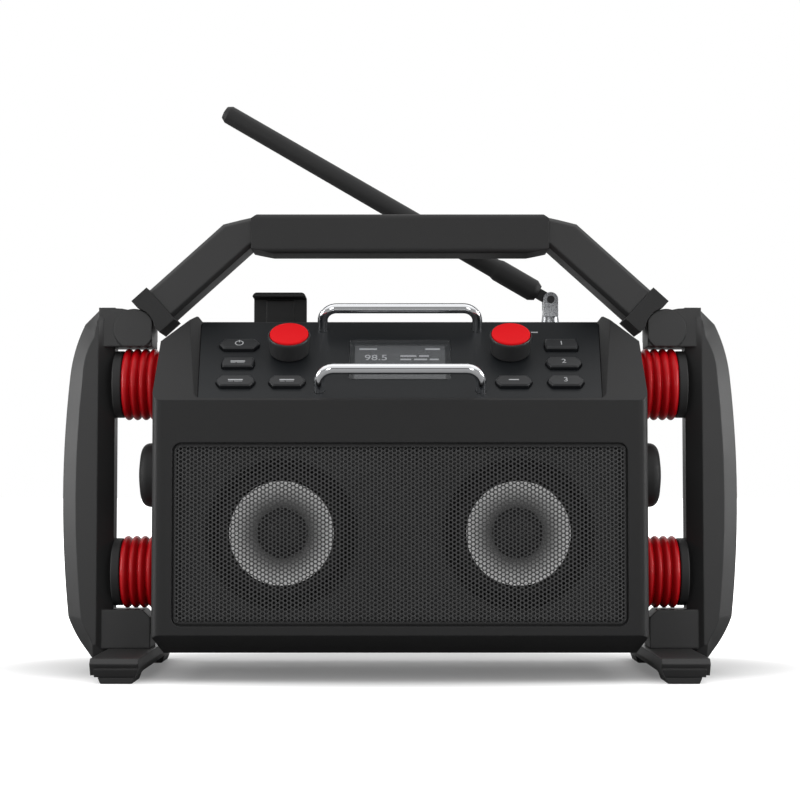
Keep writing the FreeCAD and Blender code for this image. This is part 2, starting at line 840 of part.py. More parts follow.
def make_skid_bolts():
    bolts = []
    for x, y in skid_bolt_places():
        belly = skid_flange_low - skid_rise
        shank = rod(screw_radius, Vector(x, y, belly), Vector(x, y, skid_flange_high + skid_bolt_reach))
        head = rod(screw_head_radius, Vector(x, y, belly - 2.2), Vector(x, y, belly))
        bolts.extend(both_sides(shank.fuse(head).removeSplitter()))
    return bolts


# Speakers and grille

def make_grille():
    """Flat sheet in its seat, with a low lip behind it that drops into the mouth of the housing."""
    front = -housing_half_depth + grille_seat - grille_thickness
    corner = grille_corner - grille_gap
    plate = rounded_prism(grille_outline(grille_gap), corner, 0, grille_thickness)
    deep = grille_thickness + grille_lip
    lip_edge = grille_border + fit_clearance + 0.3
    lip = rounded_prism(grille_outline(lip_edge), grille_corner - 2.0, 0, deep)
    room = rounded_prism(grille_outline(lip_edge + grille_thickness), grille_corner - 3.0,
                         grille_thickness, deep + 1)
    pan = plate.fuse(lip).cut(room).removeSplitter()
    holes = []
    rise = hole_pitch * math.sqrt(3) / 2
    rows = int((grille_high - grille_low - 2 * plain_rim) / rise)
    columns = int((2 * grille_half_width - 2 * plain_rim) / hole_pitch)
    middle = (grille_low + grille_high) / 2
    for row in range(rows):
        z = middle + (row - (rows - 1) / 2) * rise
        shift = hole_pitch / 2 if row % 2 else 0.0
        for column in range(columns):
            x = (column - (columns - 1) / 2) * hole_pitch + shift - hole_pitch / 4
            if math.hypot(abs(x) - speaker_x, z - speaker_z) > speaker_radius - hole_size:
                continue
            corners = [Vector(x + hole_size / 2 * math.sin(math.radians(60 * k)),
                              z + hole_size / 2 * math.cos(math.radians(60 * k)), -1) for k in range(6)]
            holes.append(polygon_face(corners).extrude(Vector(0, 0, grille_thickness + 2)))
    pan = pan.cut(holes)
    return facing_front(pan, front)


def make_baffle():
    front = -housing_half_depth + wall
    frame = rectangle(-grille_half_width - 2, grille_half_width + 2, grille_low - 2, grille_high + 4)
    plate = rounded_prism(frame, 3.0, 0, baffle_gap + baffle_thickness)
    hollow = rounded_prism(inset(frame, 6.0), 3.0, -1, baffle_gap)
    body = plate.cut(hollow)
    for x in (-speaker_x, speaker_x):
        body = body.cut(rod(speaker_radius - 4, Vector(x, speaker_z, -1), Vector(x, speaker_z, 20)))
    return facing_front(body, front)


def along_back(profile, x):
    """Revolve a (radius, depth) outline round a speaker axis that runs from front to back."""
    place = Vector(x, basket_front(), speaker_z)
    return turned_shape(profile, place, Vector(0, 1, 0))


def basket_front():
    return -housing_half_depth + wall + baffle_gap - 3.0


def make_speaker_baskets():
    outer = speaker_radius
    profile = [(surround_radius - 2.5, 0), (outer, 0), (outer, 3), (outer - 5, 3),
               (magnet_radius - 4, basket_depth), (6, basket_depth), (6, basket_depth - 1.6),
               (magnet_radius - 5, basket_depth - 1.6),
               (outer - 7, 4), (surround_radius - 2.5, 3)]
    return [along_back(profile, x) for x in (-speaker_x, speaker_x)]


def make_speaker_cone(x):
    top = -0.8
    roll = surround_radius - 3.5
    profile = [(surround_radius + 2, 0), (surround_radius + 2, top), (roll + 1, top), (roll - 1.0, top - 0.6),
               (cone_radius, top), (dust_cap_radius, cone_depth - 4.0),
               (dust_cap_radius * 0.86, cone_depth - 6.6),
               (dust_cap_radius * 0.5, cone_depth - 8.6), (0, cone_depth - 9.2), (0, cone_depth - 8.2),
               (dust_cap_radius * 0.5, cone_depth - 7.6), (dust_cap_radius - 3.0, cone_depth - 2.6),
               (dust_cap_radius - 2.0, cone_depth - 1.4), (cone_radius, 0.9), (roll - 2.0, 0.2), (roll, 0)]
    return along_back(profile, x)


def make_speaker_magnets():
    end = basket_depth + magnet_length
    profile = [(0, basket_depth), (magnet_radius, basket_depth), (magnet_radius, end - 2),
               (magnet_radius - 2, end), (0, end)]
    return [along_back(profile, x) for x in (-speaker_x, speaker_x)]


# Control panel and what it carries

# Each key: X as a share of the half width of the panel, place up the slope, width, height, point of its ends
keys = {
    "power_button": (-0.8262, 61.5, 25.0, 11.0, 3.2),
    "source_button": (-0.8221, 41.2, 20.0, 10.0, 0.8),
    "menu_button": (-0.8230, 21.0, 23.5, 11.0, 2.6),
    "info_button": (-0.5656, 21.0, 22.0, 11.0, 2.6),
    "preset_one_button": (0.8295, 61.5, 21.0, 11.0, 0.8),
    "preset_two_button": (0.8311, 41.2, 22.0, 11.0, 2.6),
    "preset_three_button": (0.8295, 21.0, 22.0, 11.0, 2.6),
    "back_button": (0.5697, 21.0, 22.0, 11.0, 2.6),
}


def key_outline(width, height, point, grow):
    """Key outline with both ends drawn to a blunt point."""
    w = width / 2 + grow
    h = height / 2 + grow
    side = min(point, w / 2)
    return [(-w + side, -h), (w - side, -h), (w, -h * 0.2), (w, h * 0.2), (w - side, h), (-w + side, h),
            (-w, h * 0.2), (-w, -h * 0.2)]


def make_key(name):
    share, v, width, height, point = keys[name]
    outline = key_outline(width, height, point, 0)
    crown = key_outline(width, height, point, -0.9)
    rim = key_height - key_rounding
    body = prism_z(outline, -panel_thickness - 0.01, rim)
    low = Part.makePolygon([Vector(a, b, rim) for a, b in outline + outline[:1]])
    high = Part.makePolygon([Vector(a, b, key_height) for a, b in crown + crown[:1]])
    top = Part.makeLoft([low, high], True, True)
    flange = prism_z(key_outline(width, height, point, key_margin), -panel_thickness - key_flange,
                     -panel_thickness)
    stem_low = -panel_thickness - key_flange - key_stem
    stem = rod(key_stem_radius, Vector(0, 0, stem_low), Vector(0, 0, -panel_thickness - 0.5))
    return on_panel(body.fuse([top, flange, stem]).removeSplitter(), share * panel_half_low, v)


def make_control_panel():
    plate = rounded_prism(panel_outline(0), panel_corner, -panel_thickness, 0)
    cuts = []
    for share, v, width, height, point in keys.values():
        hole = prism_z(key_outline(width, height, point, key_gap), -board_depth, key_height)
        hole.translate(Vector(share * panel_half_low, v, 0))
        cuts.append(hole)
    edge = display_half_width + lens_gap
    lens = rounded_prism(rectangle(-edge, edge, display_low - lens_gap, display_high + lens_gap),
                         lens_corner + lens_gap, -lens_thickness, 1)
    cuts.append(lens)
    border = lens_border
    cuts.append(box(-display_half_width + border, display_half_width - border, display_low + border,
                    display_high - border, -board_depth, 1))
    for x in (-knob_x, knob_x):
        cuts.append(rod(knob_shaft_radius + 0.4, Vector(x, knob_v, -board_depth), Vector(x, knob_v, 1)))
    for x in (-rail_half_width, rail_half_width):
        for v in (rail_front_v, rail_rear_v):
            cuts.append(rod(rail_radius + fit_clearance, Vector(x, v, -board_depth), Vector(x, v, 1)))
    posts = []
    for x, v in board_posts():
        posts.append(rod(board_post_radius, Vector(x, v, -board_depth), Vector(x, v, -panel_thickness)))
    return on_panel(plate.cut(cuts).fuse(posts), 0, 0)


def board_posts():
    side = panel_half_low * 0.6885
    return [(x, v) for x in (-side, 0.0, side) for v in (board_post_low, board_post_high)]


def make_control_board():
    side = panel_half_low - board_side_room
    board = box(-side, side, board_low, board_high, -board_depth - board_thickness, -board_depth)
    holes = [rod(rail_radius + 2.5, Vector(x, v, -board_depth - 5), Vector(x, v, 0))
             for x in (-rail_half_width, rail_half_width) for v in (rail_front_v, rail_rear_v)]
    return on_panel(board.cut(holes), 0, 0)


def make_tact_switches():
    half = switch_size / 2
    switches = []
    for share, v, width, height, point in keys.values():
        body = box(-half, half, -half, half, -board_depth, -switch_top - 0.8)
        plunger = rod(1.6, Vector(0, 0, -switch_top - 0.8), Vector(0, 0, -switch_top))
        switches.append(on_panel(body.fuse(plunger), share * panel_half_low, v))
    return switches


def make_encoders():
    half = encoder_size / 2
    result = []
    for x in (-knob_x, knob_x):
        body = box(-half, half, -half, half, -board_depth, -panel_thickness)
        bore = rod(knob_shaft_radius + shaft_fit, Vector(0, 0, -board_depth + 1.5), Vector(0, 0, 0))
        result.append(on_panel(body.cut(bore), x, knob_v))
    return result


def make_knob(x):
    shaft_low = -board_depth + 1.8
    foot = knob_foot_gap
    top = knob_height
    well = cap_height - cap_thickness - cap_travel - 0.4
    outline = [(0, shaft_low), (knob_shaft_radius, shaft_low), (knob_shaft_radius, foot),
               (knob_base_radius, foot), (knob_radius, top - 2.5), (knob_radius - 0.2, top - 0.6),
               (knob_radius - 0.5, top),
               (cap_radius + cap_gap, top), (cap_radius + cap_gap, well), (0, well)]
    return on_panel(turned_shape(outline, Vector(0, 0, 0), Vector(0, 0, 1)), x, knob_v)


def make_cap(x):
    low = cap_height - cap_thickness
    outline = [(0, low), (cap_radius, low), (cap_radius, cap_height - 1.3),
               (cap_radius - 0.9, cap_height - 0.5), (cap_radius * 0.5, cap_height - 0.1), (0, cap_height)]
    return on_panel(turned_shape(outline, Vector(0, 0, 0), Vector(0, 0, 1)), x, knob_v)


def make_display_lens():
    lens = rounded_prism(rectangle(-display_half_width, display_half_width, display_low, display_high),
                         lens_corner, -lens_thickness, 0.2)
    return on_panel(lens, 0, 0)


def make_display_module():
    module = box(-display_half_width - 1, display_half_width + 1, display_low - 2, display_high + 2,
                 -board_depth, -panel_thickness)
    return on_panel(module, 0, 0)


def make_rail(v):
    """Bent round bar: two legs through the panel and a bar across, joined by two bends."""
    w = rail_half_width
    h = rail_height
    b = rail_bend
    diagonal = b * (1 - math.sqrt(0.5))
    left_bend = Vector(-w + diagonal, 0, h - diagonal)
    right_bend = Vector(w - diagonal, 0, h - diagonal)
    path = Part.Wire([
        Part.LineSegment(Vector(-w, 0, -rail_root), Vector(-w, 0, h - b)).toShape(),
        Part.Arc(Vector(-w, 0, h - b), left_bend, Vector(-w + b, 0, h)).toShape(),
        Part.LineSegment(Vector(-w + b, 0, h), Vector(w - b, 0, h)).toShape(),
        Part.Arc(Vector(w - b, 0, h), right_bend, Vector(w, 0, h - b)).toShape(),
        Part.LineSegment(Vector(w, 0, h - b), Vector(w, 0, -rail_root)).toShape(),
    ])
    profile = Part.Wire([Part.makeCircle(rail_radius, Vector(-w, 0, -rail_root), Vector(0, 0, 1))])
    return on_panel(path.makePipeShell([profile], True, False), 0, v)


# Antenna

def rod_direction():
    angle = math.radians(antenna_angle)
    return Vector(-math.cos(angle), 0, math.sin(angle))


def make_antenna_base():
    low = deck_height
    outline = [(0, low - 6), (post_radius - 2, low - 6), (post_radius - 2, low), (base_radius, low),
               (base_radius - 1, low + base_height), (0, low + base_height)]
    return turned_shape(outline, Vector(antenna_x, antenna_y, 0), Vector(0, 0, 1))


def make_antenna_knuckle():
    low = deck_height + base_height
    fork_low = antenna_pivot_z - 8.5
    place = Vector(antenna_x, antenna_y, 0)
    post = turned_shape([(0, low), (post_radius, low), (post_top_radius, fork_low), (0, fork_low)],
                        place, Vector(0, 0, 1))
    fork = box(antenna_x - 5.0, antenna_x + 5.0, antenna_y - fork_half, antenna_y + fork_half, fork_low - 3,
               antenna_pivot_z)
    ends = rod(5.0, Vector(antenna_x, antenna_y - fork_half, antenna_pivot_z),
               Vector(antenna_x, antenna_y + fork_half, antenna_pivot_z))
    body = post.fuse([fork, ends])
    gap = fork_slot + 0.4
    slot = box(antenna_x - 20, antenna_x + 20, antenna_y - gap, antenna_y + gap, fork_low + 1.5,
               antenna_pivot_z + 20)
    pin_hole = rod(antenna_pin_radius + fit_clearance, Vector(antenna_x, antenna_y - 20, antenna_pivot_z),
                   Vector(antenna_x, antenna_y + 20, antenna_pivot_z))
    return body.cut([slot, pin_hole]).removeSplitter()


def make_antenna_pin():
    pin = rod(antenna_pin_radius, Vector(antenna_x, antenna_y - fork_half - 0.6, antenna_pivot_z),
              Vector(antenna_x, antenna_y + fork_half + 0.6, antenna_pivot_z))
    heads = [rod(2.6, Vector(antenna_x, antenna_y + s * fork_half, antenna_pivot_z),
                 Vector(antenna_x, antenna_y + s * (fork_half + 1.0), antenna_pivot_z)) for s in (-1, 1)]
    return pin.fuse(heads).removeSplitter()


def make_antenna_rod():
    pivot = Vector(antenna_x, antenna_y, antenna_pivot_z)
    tip = antenna_length
    start = 9.5
    collar = start + antenna_collar_length
    outline = [(0, start), (antenna_root_radius - 2.2, start), (antenna_root_radius, start + 4),
               (antenna_root_radius, collar - 3), (antenna_tip_radius + 0.4, collar),
               (antenna_tip_radius, tip - 4), (antenna_tip_radius - 1.8, tip - 1), (0, tip)]
    shaft = turned_shape(outline, pivot, rod_direction())
    tongue = box(0, start + 2, -fork_slot, fork_slot, -3.4, 3.4)
    eye = rod(4.0, Vector(0, -fork_slot, 0), Vector(0, fork_slot, 0))
    hinge = tongue.fuse(eye)
    hinge.Placement = Placement(pivot, Rotation(Vector(1, 0, 0), rod_direction()))
    hole = rod(antenna_pin_radius + antenna_pin_fit, Vector(antenna_x, antenna_y - 20, antenna_pivot_z),
               Vector(antenna_x, antenna_y + 20, antenna_pivot_z))
    return shaft.fuse(hinge).cut(hole).removeSplitter()


# Phone clamp

def make_clamp_jaw():
    low = deck_height + 0.4
    front = clamp_y - clamp_lip
    back = clamp_y + clamp_plate
    side = prism_x([(clamp_y, low), (back, low), (back, clamp_top), (front, clamp_top),
                    (front, clamp_top - clamp_lip_thickness), (clamp_y, clamp_top - clamp_lip_thickness)],
                   clamp_left, clamp_right)
    corner = rounded_prism(rectangle(clamp_left, clamp_right, low - 10, clamp_top), clamp_corner,
                           -clamp_lip * 2, clamp_lip * 2)
    corner.Placement = Placement(Vector(0, clamp_y, 0), Rotation(Vector(1, 0, 0), 90))
    side = side.common(corner)
    middle = (clamp_left + clamp_right) / 2
    stem = box(middle - clamp_stem_half, middle + clamp_stem_half, clamp_y, back, clamp_stem_low, low + 1)
    rib = prism_x([(clamp_y - 1.2, clamp_top - 4), (clamp_y + 0.5, clamp_top - 4), (clamp_y + 0.5, low + 3),
                   (clamp_y - 1.2, low + 3)], middle - 9, middle + 9)
    return side.fuse([stem, rib]).removeSplitter()


def make_clamp_guide():
    """Sleeve under the deck in which the stem of the jaw slides."""
    middle = (clamp_left + clamp_right) / 2
    half = clamp_stem_half + slide_gap
    front = clamp_y - slide_gap
    back = clamp_y + clamp_plate + slide_gap
    top = deck_height - floor_thickness
    body = box(middle - half - guide_wall, middle + half + guide_wall, front - guide_wall, back + guide_wall,
               clamp_guide_low, top)
    room = box(middle - half, middle + half, front, back, clamp_guide_low - 1, top + 1)
    return body.cut(room)


# Rear: battery bay, door, inlet and boards

def make_battery_door():
    back = housing_half_depth
    low = door_axis_z + hinge_radius + 0.5
    high = bay_high - door_gap
    half = bay_half_width - door_gap
    plate = box(-half, half, back - door_thickness, back, low, high)
    ribs = []
    for x in (-door_rib_pitch, 0.0, door_rib_pitch):
        ribs.append(box(x - 1.5, x + 1.5, back - 0.01, back + 1.4, low + 14, high - 22))
    knuckles = []
    for sign in (-1, 1):
        start = sign * knuckle_x - knuckle_length / 2
        barrel = hinge_knuckle(start, start + knuckle_length)
        web = box(start, start + knuckle_length, hinge_y, back, door_axis_z, low + 1)
        knuckles.append(barrel.fuse(web))
    door = plate.fuse(ribs + knuckles)
    bore = rod(hinge_pin_radius + hinge_fit, Vector(-half, hinge_y, door_axis_z),
               Vector(half, hinge_y, door_axis_z))
    pull = rod(pull_half, Vector(0, back - 2.2, high + pull_half - pull_height),
               Vector(0, back + 5, high + pull_half - pull_height))
    return door.cut([bore, pull]).removeSplitter()


def make_door_seal():
    """Rubber strip round the two sides and the top of the bay mouth, just inside the shut door."""
    inner_face = housing_half_depth - door_thickness - 0.3
    low = door_axis_z + hinge_radius + 1.5
    strip = box(-bay_half_width, bay_half_width, inner_face - seal_depth, inner_face, low, bay_high)
    room = box(-bay_half_width + seal_width, bay_half_width - seal_width, inner_face - seal_depth - 1,
               inner_face + 1, low - 1, bay_high - seal_width)
    return strip.cut(room)


def make_hinge_pin():
    start = Vector(-knuckle_x - knuckle_length / 2 - 1, hinge_y, door_axis_z)
    stop = Vector(knuckle_x + knuckle_length / 2 + 1, hinge_y, door_axis_z)
    return rod(hinge_pin_radius, start, stop)


def make_battery_pack():
    back = housing_half_depth - door_thickness - 3
    low = bay_low
    pack = box(-battery_half_width, battery_half_width, back - battery_depth, back, low, low + battery_height)
    edges = [e for e in pack.Edges if abs(abs(e.CenterOfMass.x) - battery_half_width) < 0.01
             and abs(e.CenterOfMass.y - (back - battery_depth / 2)) < 0.01]
    return pack.makeFillet(4.0, edges)


def make_mains_inlet():
    back = housing_half_depth
    w = inlet_half_width
    h = inlet_half_height
    body = box(inlet_x - w - 2, inlet_x + w + 2, back - wall - inlet_depth, back - wall,
               inlet_z - h - 2, inlet_z + h + 2)
    throat = box(inlet_x - w + 0.2, inlet_x + w - 0.2, back - wall - 0.5, back,
                 inlet_z - h + 0.2, inlet_z + h - 0.2)
    recess = []
    pins = []
    for x in (inlet_x - pin_spread, inlet_x + pin_spread):
        recess.append(rod(h - 2.4, Vector(x, back - 13, inlet_z), Vector(x, back + 1, inlet_z)))
        pins.append(rod(pin_radius, Vector(x, back - 13.5, inlet_z), Vector(x, back - 3, inlet_z)))
    return body.fuse(throat).cut(recess).fuse(pins).removeSplitter()


def make_amplifier_board():
    low = housing_bottom + wall
    face = low + amplifier_lift + board_thickness
    side = amplifier_half_length
    board = box(-side, side, amplifier_front, split_y - 2, low + amplifier_lift, face)
    posts = [rod(3.0, Vector(x, y, low), Vector(x, y, low + amplifier_lift))
             for x in (6 - side, side - 6) for y in (amplifier_front + 6, split_y - 8)]
    sink = box(sink_x - sink_half_width, sink_x + sink_half_width, sink_y - sink_half_depth,
               sink_y + sink_half_depth, face, low + sink_top)
    coil = rod(coil_radius, Vector(coil_x, sink_y, face), Vector(coil_x, sink_y, low + coil_top))
    return board.fuse(posts + [sink, coil]).removeSplitter()


def parts():
    made = {}
    made["handle_bar"] = make_handle_bar()
    made["handle_grip"] = make_handle_grip()
    made["handle_collars"] = make_handle_collars()
    made["collar_bolts"] = make_collar_bolts()
    guard = make_guard()
    made["guard_right"] = guard
    made["guard_left"] = mirrored_x(guard)
    skid = make_skid()
    made["skid_right"] = skid
    made["skid_left"] = mirrored_x(skid)
    made["skid_bolts"] = make_skid_bolts()
    made["foot_pads"] = make_foot_pads()
    for level, z in (("upper", damper_upper_z), ("lower", damper_lower_z)):
        damper = make_damper(z)
        made["damper_" + level + "_right"] = damper
        made["damper_" + level + "_left"] = mirrored_x(damper)
    made["damper_seats"] = make_damper_seats()
    made["damper_bolts"] = make_damper_bolts()
    made["bump_stops"] = make_bump_stops()
    made["front_housing"] = make_front_housing()
    made["rear_cover"] = make_rear_cover()
    made["housing_screws"] = make_housing_screws()
    made["speaker_grille"] = make_grille()
    made["speaker_baffle"] = make_baffle()
    made["speaker_baskets"] = make_speaker_baskets()
    made["speaker_cone_left"] = make_speaker_cone(-speaker_x)
    made["speaker_cone_right"] = make_speaker_cone(speaker_x)
    made["speaker_magnets"] = make_speaker_magnets()
    made["control_panel"] = make_control_panel()
    made["control_board"] = make_control_board()
    made["tact_switches"] = make_tact_switches()
    made["rotary_encoders"] = make_encoders()
    made["volume_knob"] = make_knob(-knob_x)
    made["volume_cap"] = make_cap(-knob_x)
    made["tuning_knob"] = make_knob(knob_x)
    made["tuning_cap"] = make_cap(knob_x)
    for name in keys:
        made[name] = make_key(name)
    made["display_lens"] = make_display_lens()
    made["display_module"] = make_display_module()
    made["rail_front"] = make_rail(rail_front_v)
    made["rail_rear"] = make_rail(rail_rear_v)
    made["antenna_base"] = make_antenna_base()
    made["antenna_knuckle"] = make_antenna_knuckle()
    made["antenna_pin"] = make_antenna_pin()
    made["antenna_rod"] = make_antenna_rod()
    made["clamp_jaw"] = make_clamp_jaw()
    made["clamp_guide"] = make_clamp_guide()
    made["battery_door"] = make_battery_door()
    made["door_seal"] = make_door_seal()
    made["hinge_pin"] = make_hinge_pin()
    made["battery_pack"] = make_battery_pack()
    made["mains_inlet"] = make_mains_inlet()
    made["amplifier_board"] = make_amplifier_board()
    return made


os.makedirs("parts", exist_ok=True)
for node, shape in parts().items():
    if isinstance(shape, list):
        shape = Part.makeCompound(shape)
    if not shape.isValid():
        print("not valid:", node)
    print(node, len(shape.Solids), round(shape.Volume))
    shape.exportStep("parts/" + node + ".step")
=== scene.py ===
import json
import math

import bmesh
import bpy
from mathutils import Matrix, Vector

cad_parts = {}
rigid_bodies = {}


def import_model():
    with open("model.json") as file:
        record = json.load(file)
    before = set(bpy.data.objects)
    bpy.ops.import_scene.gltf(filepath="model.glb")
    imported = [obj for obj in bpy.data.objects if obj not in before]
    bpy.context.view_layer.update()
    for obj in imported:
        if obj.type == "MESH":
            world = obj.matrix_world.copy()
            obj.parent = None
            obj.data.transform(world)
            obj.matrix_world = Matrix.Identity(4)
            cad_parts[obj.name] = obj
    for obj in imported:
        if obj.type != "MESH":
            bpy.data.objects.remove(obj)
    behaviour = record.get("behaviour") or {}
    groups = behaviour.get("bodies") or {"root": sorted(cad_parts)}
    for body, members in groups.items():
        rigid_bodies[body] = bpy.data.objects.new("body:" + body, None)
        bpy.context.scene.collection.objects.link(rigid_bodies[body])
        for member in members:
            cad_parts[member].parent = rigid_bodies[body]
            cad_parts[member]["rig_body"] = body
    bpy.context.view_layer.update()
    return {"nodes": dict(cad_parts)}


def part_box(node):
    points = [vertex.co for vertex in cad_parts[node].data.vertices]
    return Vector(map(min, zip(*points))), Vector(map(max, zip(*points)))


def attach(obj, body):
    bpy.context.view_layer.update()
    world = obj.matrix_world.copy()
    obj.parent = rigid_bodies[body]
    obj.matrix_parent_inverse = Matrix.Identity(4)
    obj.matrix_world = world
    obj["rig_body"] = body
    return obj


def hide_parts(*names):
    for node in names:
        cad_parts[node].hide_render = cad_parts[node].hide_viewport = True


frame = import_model()
scene = bpy.context.scene
mm = 0.001
print("stage: frame loaded,", len(frame["nodes"]), "solids")

# Shared mesh makers

rounding = {"merge": 0.00001, "seam": 0.000005, "flat": 0.6, "sharp": 30, "wide": 0.001}


def newPiece(name, bm, material, body="root", standsFor=(), smooth=True):
    mesh = bpy.data.meshes.new(name)
    for face in bm.faces:
        face.smooth = smooth
    bm.to_mesh(mesh)
    bm.free()
    piece = bpy.data.objects.new(name, mesh)
    scene.collection.objects.link(piece)
    mesh.materials.append(material)
    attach(piece, body)
    if standsFor:
        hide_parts(*standsFor)
    return piece


def markSharp(bm, angle):
    for edge in bm.edges:
        edge.smooth = edge.calc_face_angle(0.0) < math.radians(angle)


def addBevel(piece, width, segments=2, angle=35):
    bevel = piece.modifiers.new("edges", "BEVEL")
    bevel.width = width
    bevel.segments = segments
    bevel.limit_method = "ANGLE"
    bevel.angle_limit = math.radians(angle)
    bevel.harden_normals = False
    bevel.miter_outer = "MITER_ARC"


def addThickness(piece, thickness, offset):
    wall = piece.modifiers.new("wall", "SOLIDIFY")
    wall.thickness = thickness
    wall.offset = offset


def finishedCopy(node, material, width=0.0, segments=2):
    bm = bmesh.new()
    bm.from_mesh(frame["nodes"][node].data)
    bmesh.ops.remove_doubles(bm, verts=bm.verts[:], dist=rounding["merge"])
    bmesh.ops.dissolve_limit(bm, angle_limit=math.radians(rounding["flat"]), verts=bm.verts[:],
                             edges=bm.edges[:])
    markSharp(bm, rounding["sharp"])
    body = frame["nodes"][node]["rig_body"]
    piece = newPiece(node + "_finished", bm, material, body, standsFor=(node,))
    if width:
        addBevel(piece, width, segments, rounding["sharp"])
    normals = piece.modifiers.new("normals", "WEIGHTED_NORMAL")
    normals.keep_sharp = True


def spunShape(outline, steps, place, axis, closed=False):
    bm = bmesh.new()
    profile = outline + outline[:1] if closed else outline
    points = [bm.verts.new((radius, 0.0, height)) for radius, height in profile]
    lines = [bm.edges.new(pair) for pair in zip(points, points[1:])]
    bmesh.ops.spin(bm, geom=points + lines, cent=(0, 0, 0), axis=(0, 0, 1), angle=math.tau,
                   steps=steps, use_merge=True)
    bmesh.ops.remove_doubles(bm, verts=bm.verts[:], dist=rounding["seam"])
    bmesh.ops.recalc_face_normals(bm, faces=bm.faces[:])
    turn = Vector((0, 0, 1)).rotation_difference(Vector(axis)).to_matrix().to_4x4()
    bmesh.ops.transform(bm, matrix=Matrix.Translation(place) @ turn, verts=bm.verts[:])
    return bm


def blockShape(bm, centre, size):
    made = bmesh.ops.create_cube(bm, size=1.0)["verts"]
    bmesh.ops.scale(bm, vec=size, verts=made)
    bmesh.ops.translate(bm, vec=centre, verts=made)


# Helpers for materials: patterns read Object coordinates


def startMaterial(name, base, roughness, metallic=0.0):
    material = bpy.data.materials.new(name)
    material.use_nodes = True
    shader = material.node_tree.nodes["Principled BSDF"]
    shader.inputs["Base Color"].default_value = (*base, 1.0)
    shader.inputs["Roughness"].default_value = roughness
    shader.inputs["Metallic"].default_value = metallic
    return material, material.node_tree.nodes, material.node_tree.links, shader


def objectNoise(nodes, links, scale, detail=3.0):
    coords = nodes.new("ShaderNodeTexCoord")
    noise = nodes.new("ShaderNodeTexNoise")
    noise.inputs["Scale"].default_value = scale
    noise.inputs["Detail"].default_value = detail
    links.new(coords.outputs["Object"], noise.inputs["Vector"])
    return noise.outputs["Fac"]


def spreadRange(nodes, links, source, fromRange, toRange=(0.0, 1.0), kind="LINEAR"):
    ramp = nodes.new("ShaderNodeMapRange")
    ramp.interpolation_type = kind
    ramp.inputs["From Min"].default_value = fromRange[0]
    ramp.inputs["From Max"].default_value = fromRange[1]
    ramp.inputs["To Min"].default_value = toRange[0]
    ramp.inputs["To Max"].default_value = toRange[1]
    links.new(source, ramp.inputs["Value"])
    return ramp.outputs["Result"]


def noiseRange(nodes, links, source, low, high):
    return spreadRange(nodes, links, source, (0.3, 0.7), (low, high))  # most noise lies in 0.3 to 0.7


def mathNode(nodes, links, operation, *values):
    node = nodes.new("ShaderNodeMath")
    node.operation = operation
    for socket, value in zip(node.inputs, values):
        if isinstance(value, (int, float)):
            socket.default_value = value
        else:
            links.new(value, socket)
    return node.outputs["Value"]


def colourMix(nodes):
    mix = nodes.new("ShaderNodeMix")
    mix.data_type = "RGBA"
    return mix


def tinted(base, factor, lift=0.0):
    return (*[min(1.0, channel * factor + lift) for channel in base], 1)


def addBump(nodes, links, shader, height, strength, depth, under=None):
    bump = nodes.new("ShaderNodeBump")
    bump.inputs["Strength"].default_value = strength
    bump.inputs["Distance"].default_value = depth
    links.new(height, bump.inputs["Height"])
    if under is not None:
        links.new(under, bump.inputs["Normal"])
    links.new(bump.outputs["Normal"], shader.inputs["Normal"])


# Moulded plastic and rubber: fine grain, cloudy tint, paler worn edges. Wear starts where the rounded
# and the flat normal agree by the first value of wearRange, and is full at the second

plainLook = {"specular": 0.5, "coat": 0.0, "coatRoughness": 0.12, "cloudScale": 14.0, "spread": 0.12,
             "smoother": 0.03, "rougher": 0.05, "edge": 0.0009, "edgeSamples": 6,
             "wear": 0.35, "wearRange": (0.99, 0.80), "wornGain": 1.5, "wornLift": 0.012}


def mouldedFinish(name, changes):
    look = {**plainLook, **changes}
    base = look["base"]
    rough = look["roughness"]
    material, nodes, links, shader = startMaterial(name, base, rough)
    shader.inputs["Specular IOR Level"].default_value = look["specular"]
    shader.inputs["Coat Weight"].default_value = look["coat"]
    shader.inputs["Coat Roughness"].default_value = look["coatRoughness"]
    grain = objectNoise(nodes, links, look["grainScale"])
    cloud = objectNoise(nodes, links, look["cloudScale"], detail=4.0)
    tint = colourMix(nodes)
    tint.inputs["A"].default_value = tinted(base, 1 - look["spread"])
    tint.inputs["B"].default_value = tinted(base, 1 + look["spread"])
    links.new(noiseRange(nodes, links, cloud, 0.0, 1.0), tint.inputs["Factor"])
    roundEdge = nodes.new("ShaderNodeBevel")
    roundEdge.samples = look["edgeSamples"]
    roundEdge.inputs["Radius"].default_value = look["edge"]
    flat = nodes.new("ShaderNodeNewGeometry")
    meet = nodes.new("ShaderNodeVectorMath")
    meet.operation = "DOT_PRODUCT"
    links.new(roundEdge.outputs["Normal"], meet.inputs[0])
    links.new(flat.outputs["Normal"], meet.inputs[1])
    worn = colourMix(nodes)
    worn.inputs["B"].default_value = tinted(base, look["wornGain"], look["wornLift"] * look["wear"])
    edge = spreadRange(nodes, links, meet.outputs["Value"], look["wearRange"], (0.0, look["wear"]))
    links.new(edge, worn.inputs["Factor"])
    links.new(tint.outputs["Result"], worn.inputs["A"])
    links.new(worn.outputs["Result"], shader.inputs["Base Color"])
    dulled = noiseRange(nodes, links, cloud, rough - look["smoother"], rough + look["rougher"])
    links.new(dulled, shader.inputs["Roughness"])
    addBump(nodes, links, shader, grain, look["grainStrength"], look["grainDepth"],
            roundEdge.outputs["Normal"])
    return material


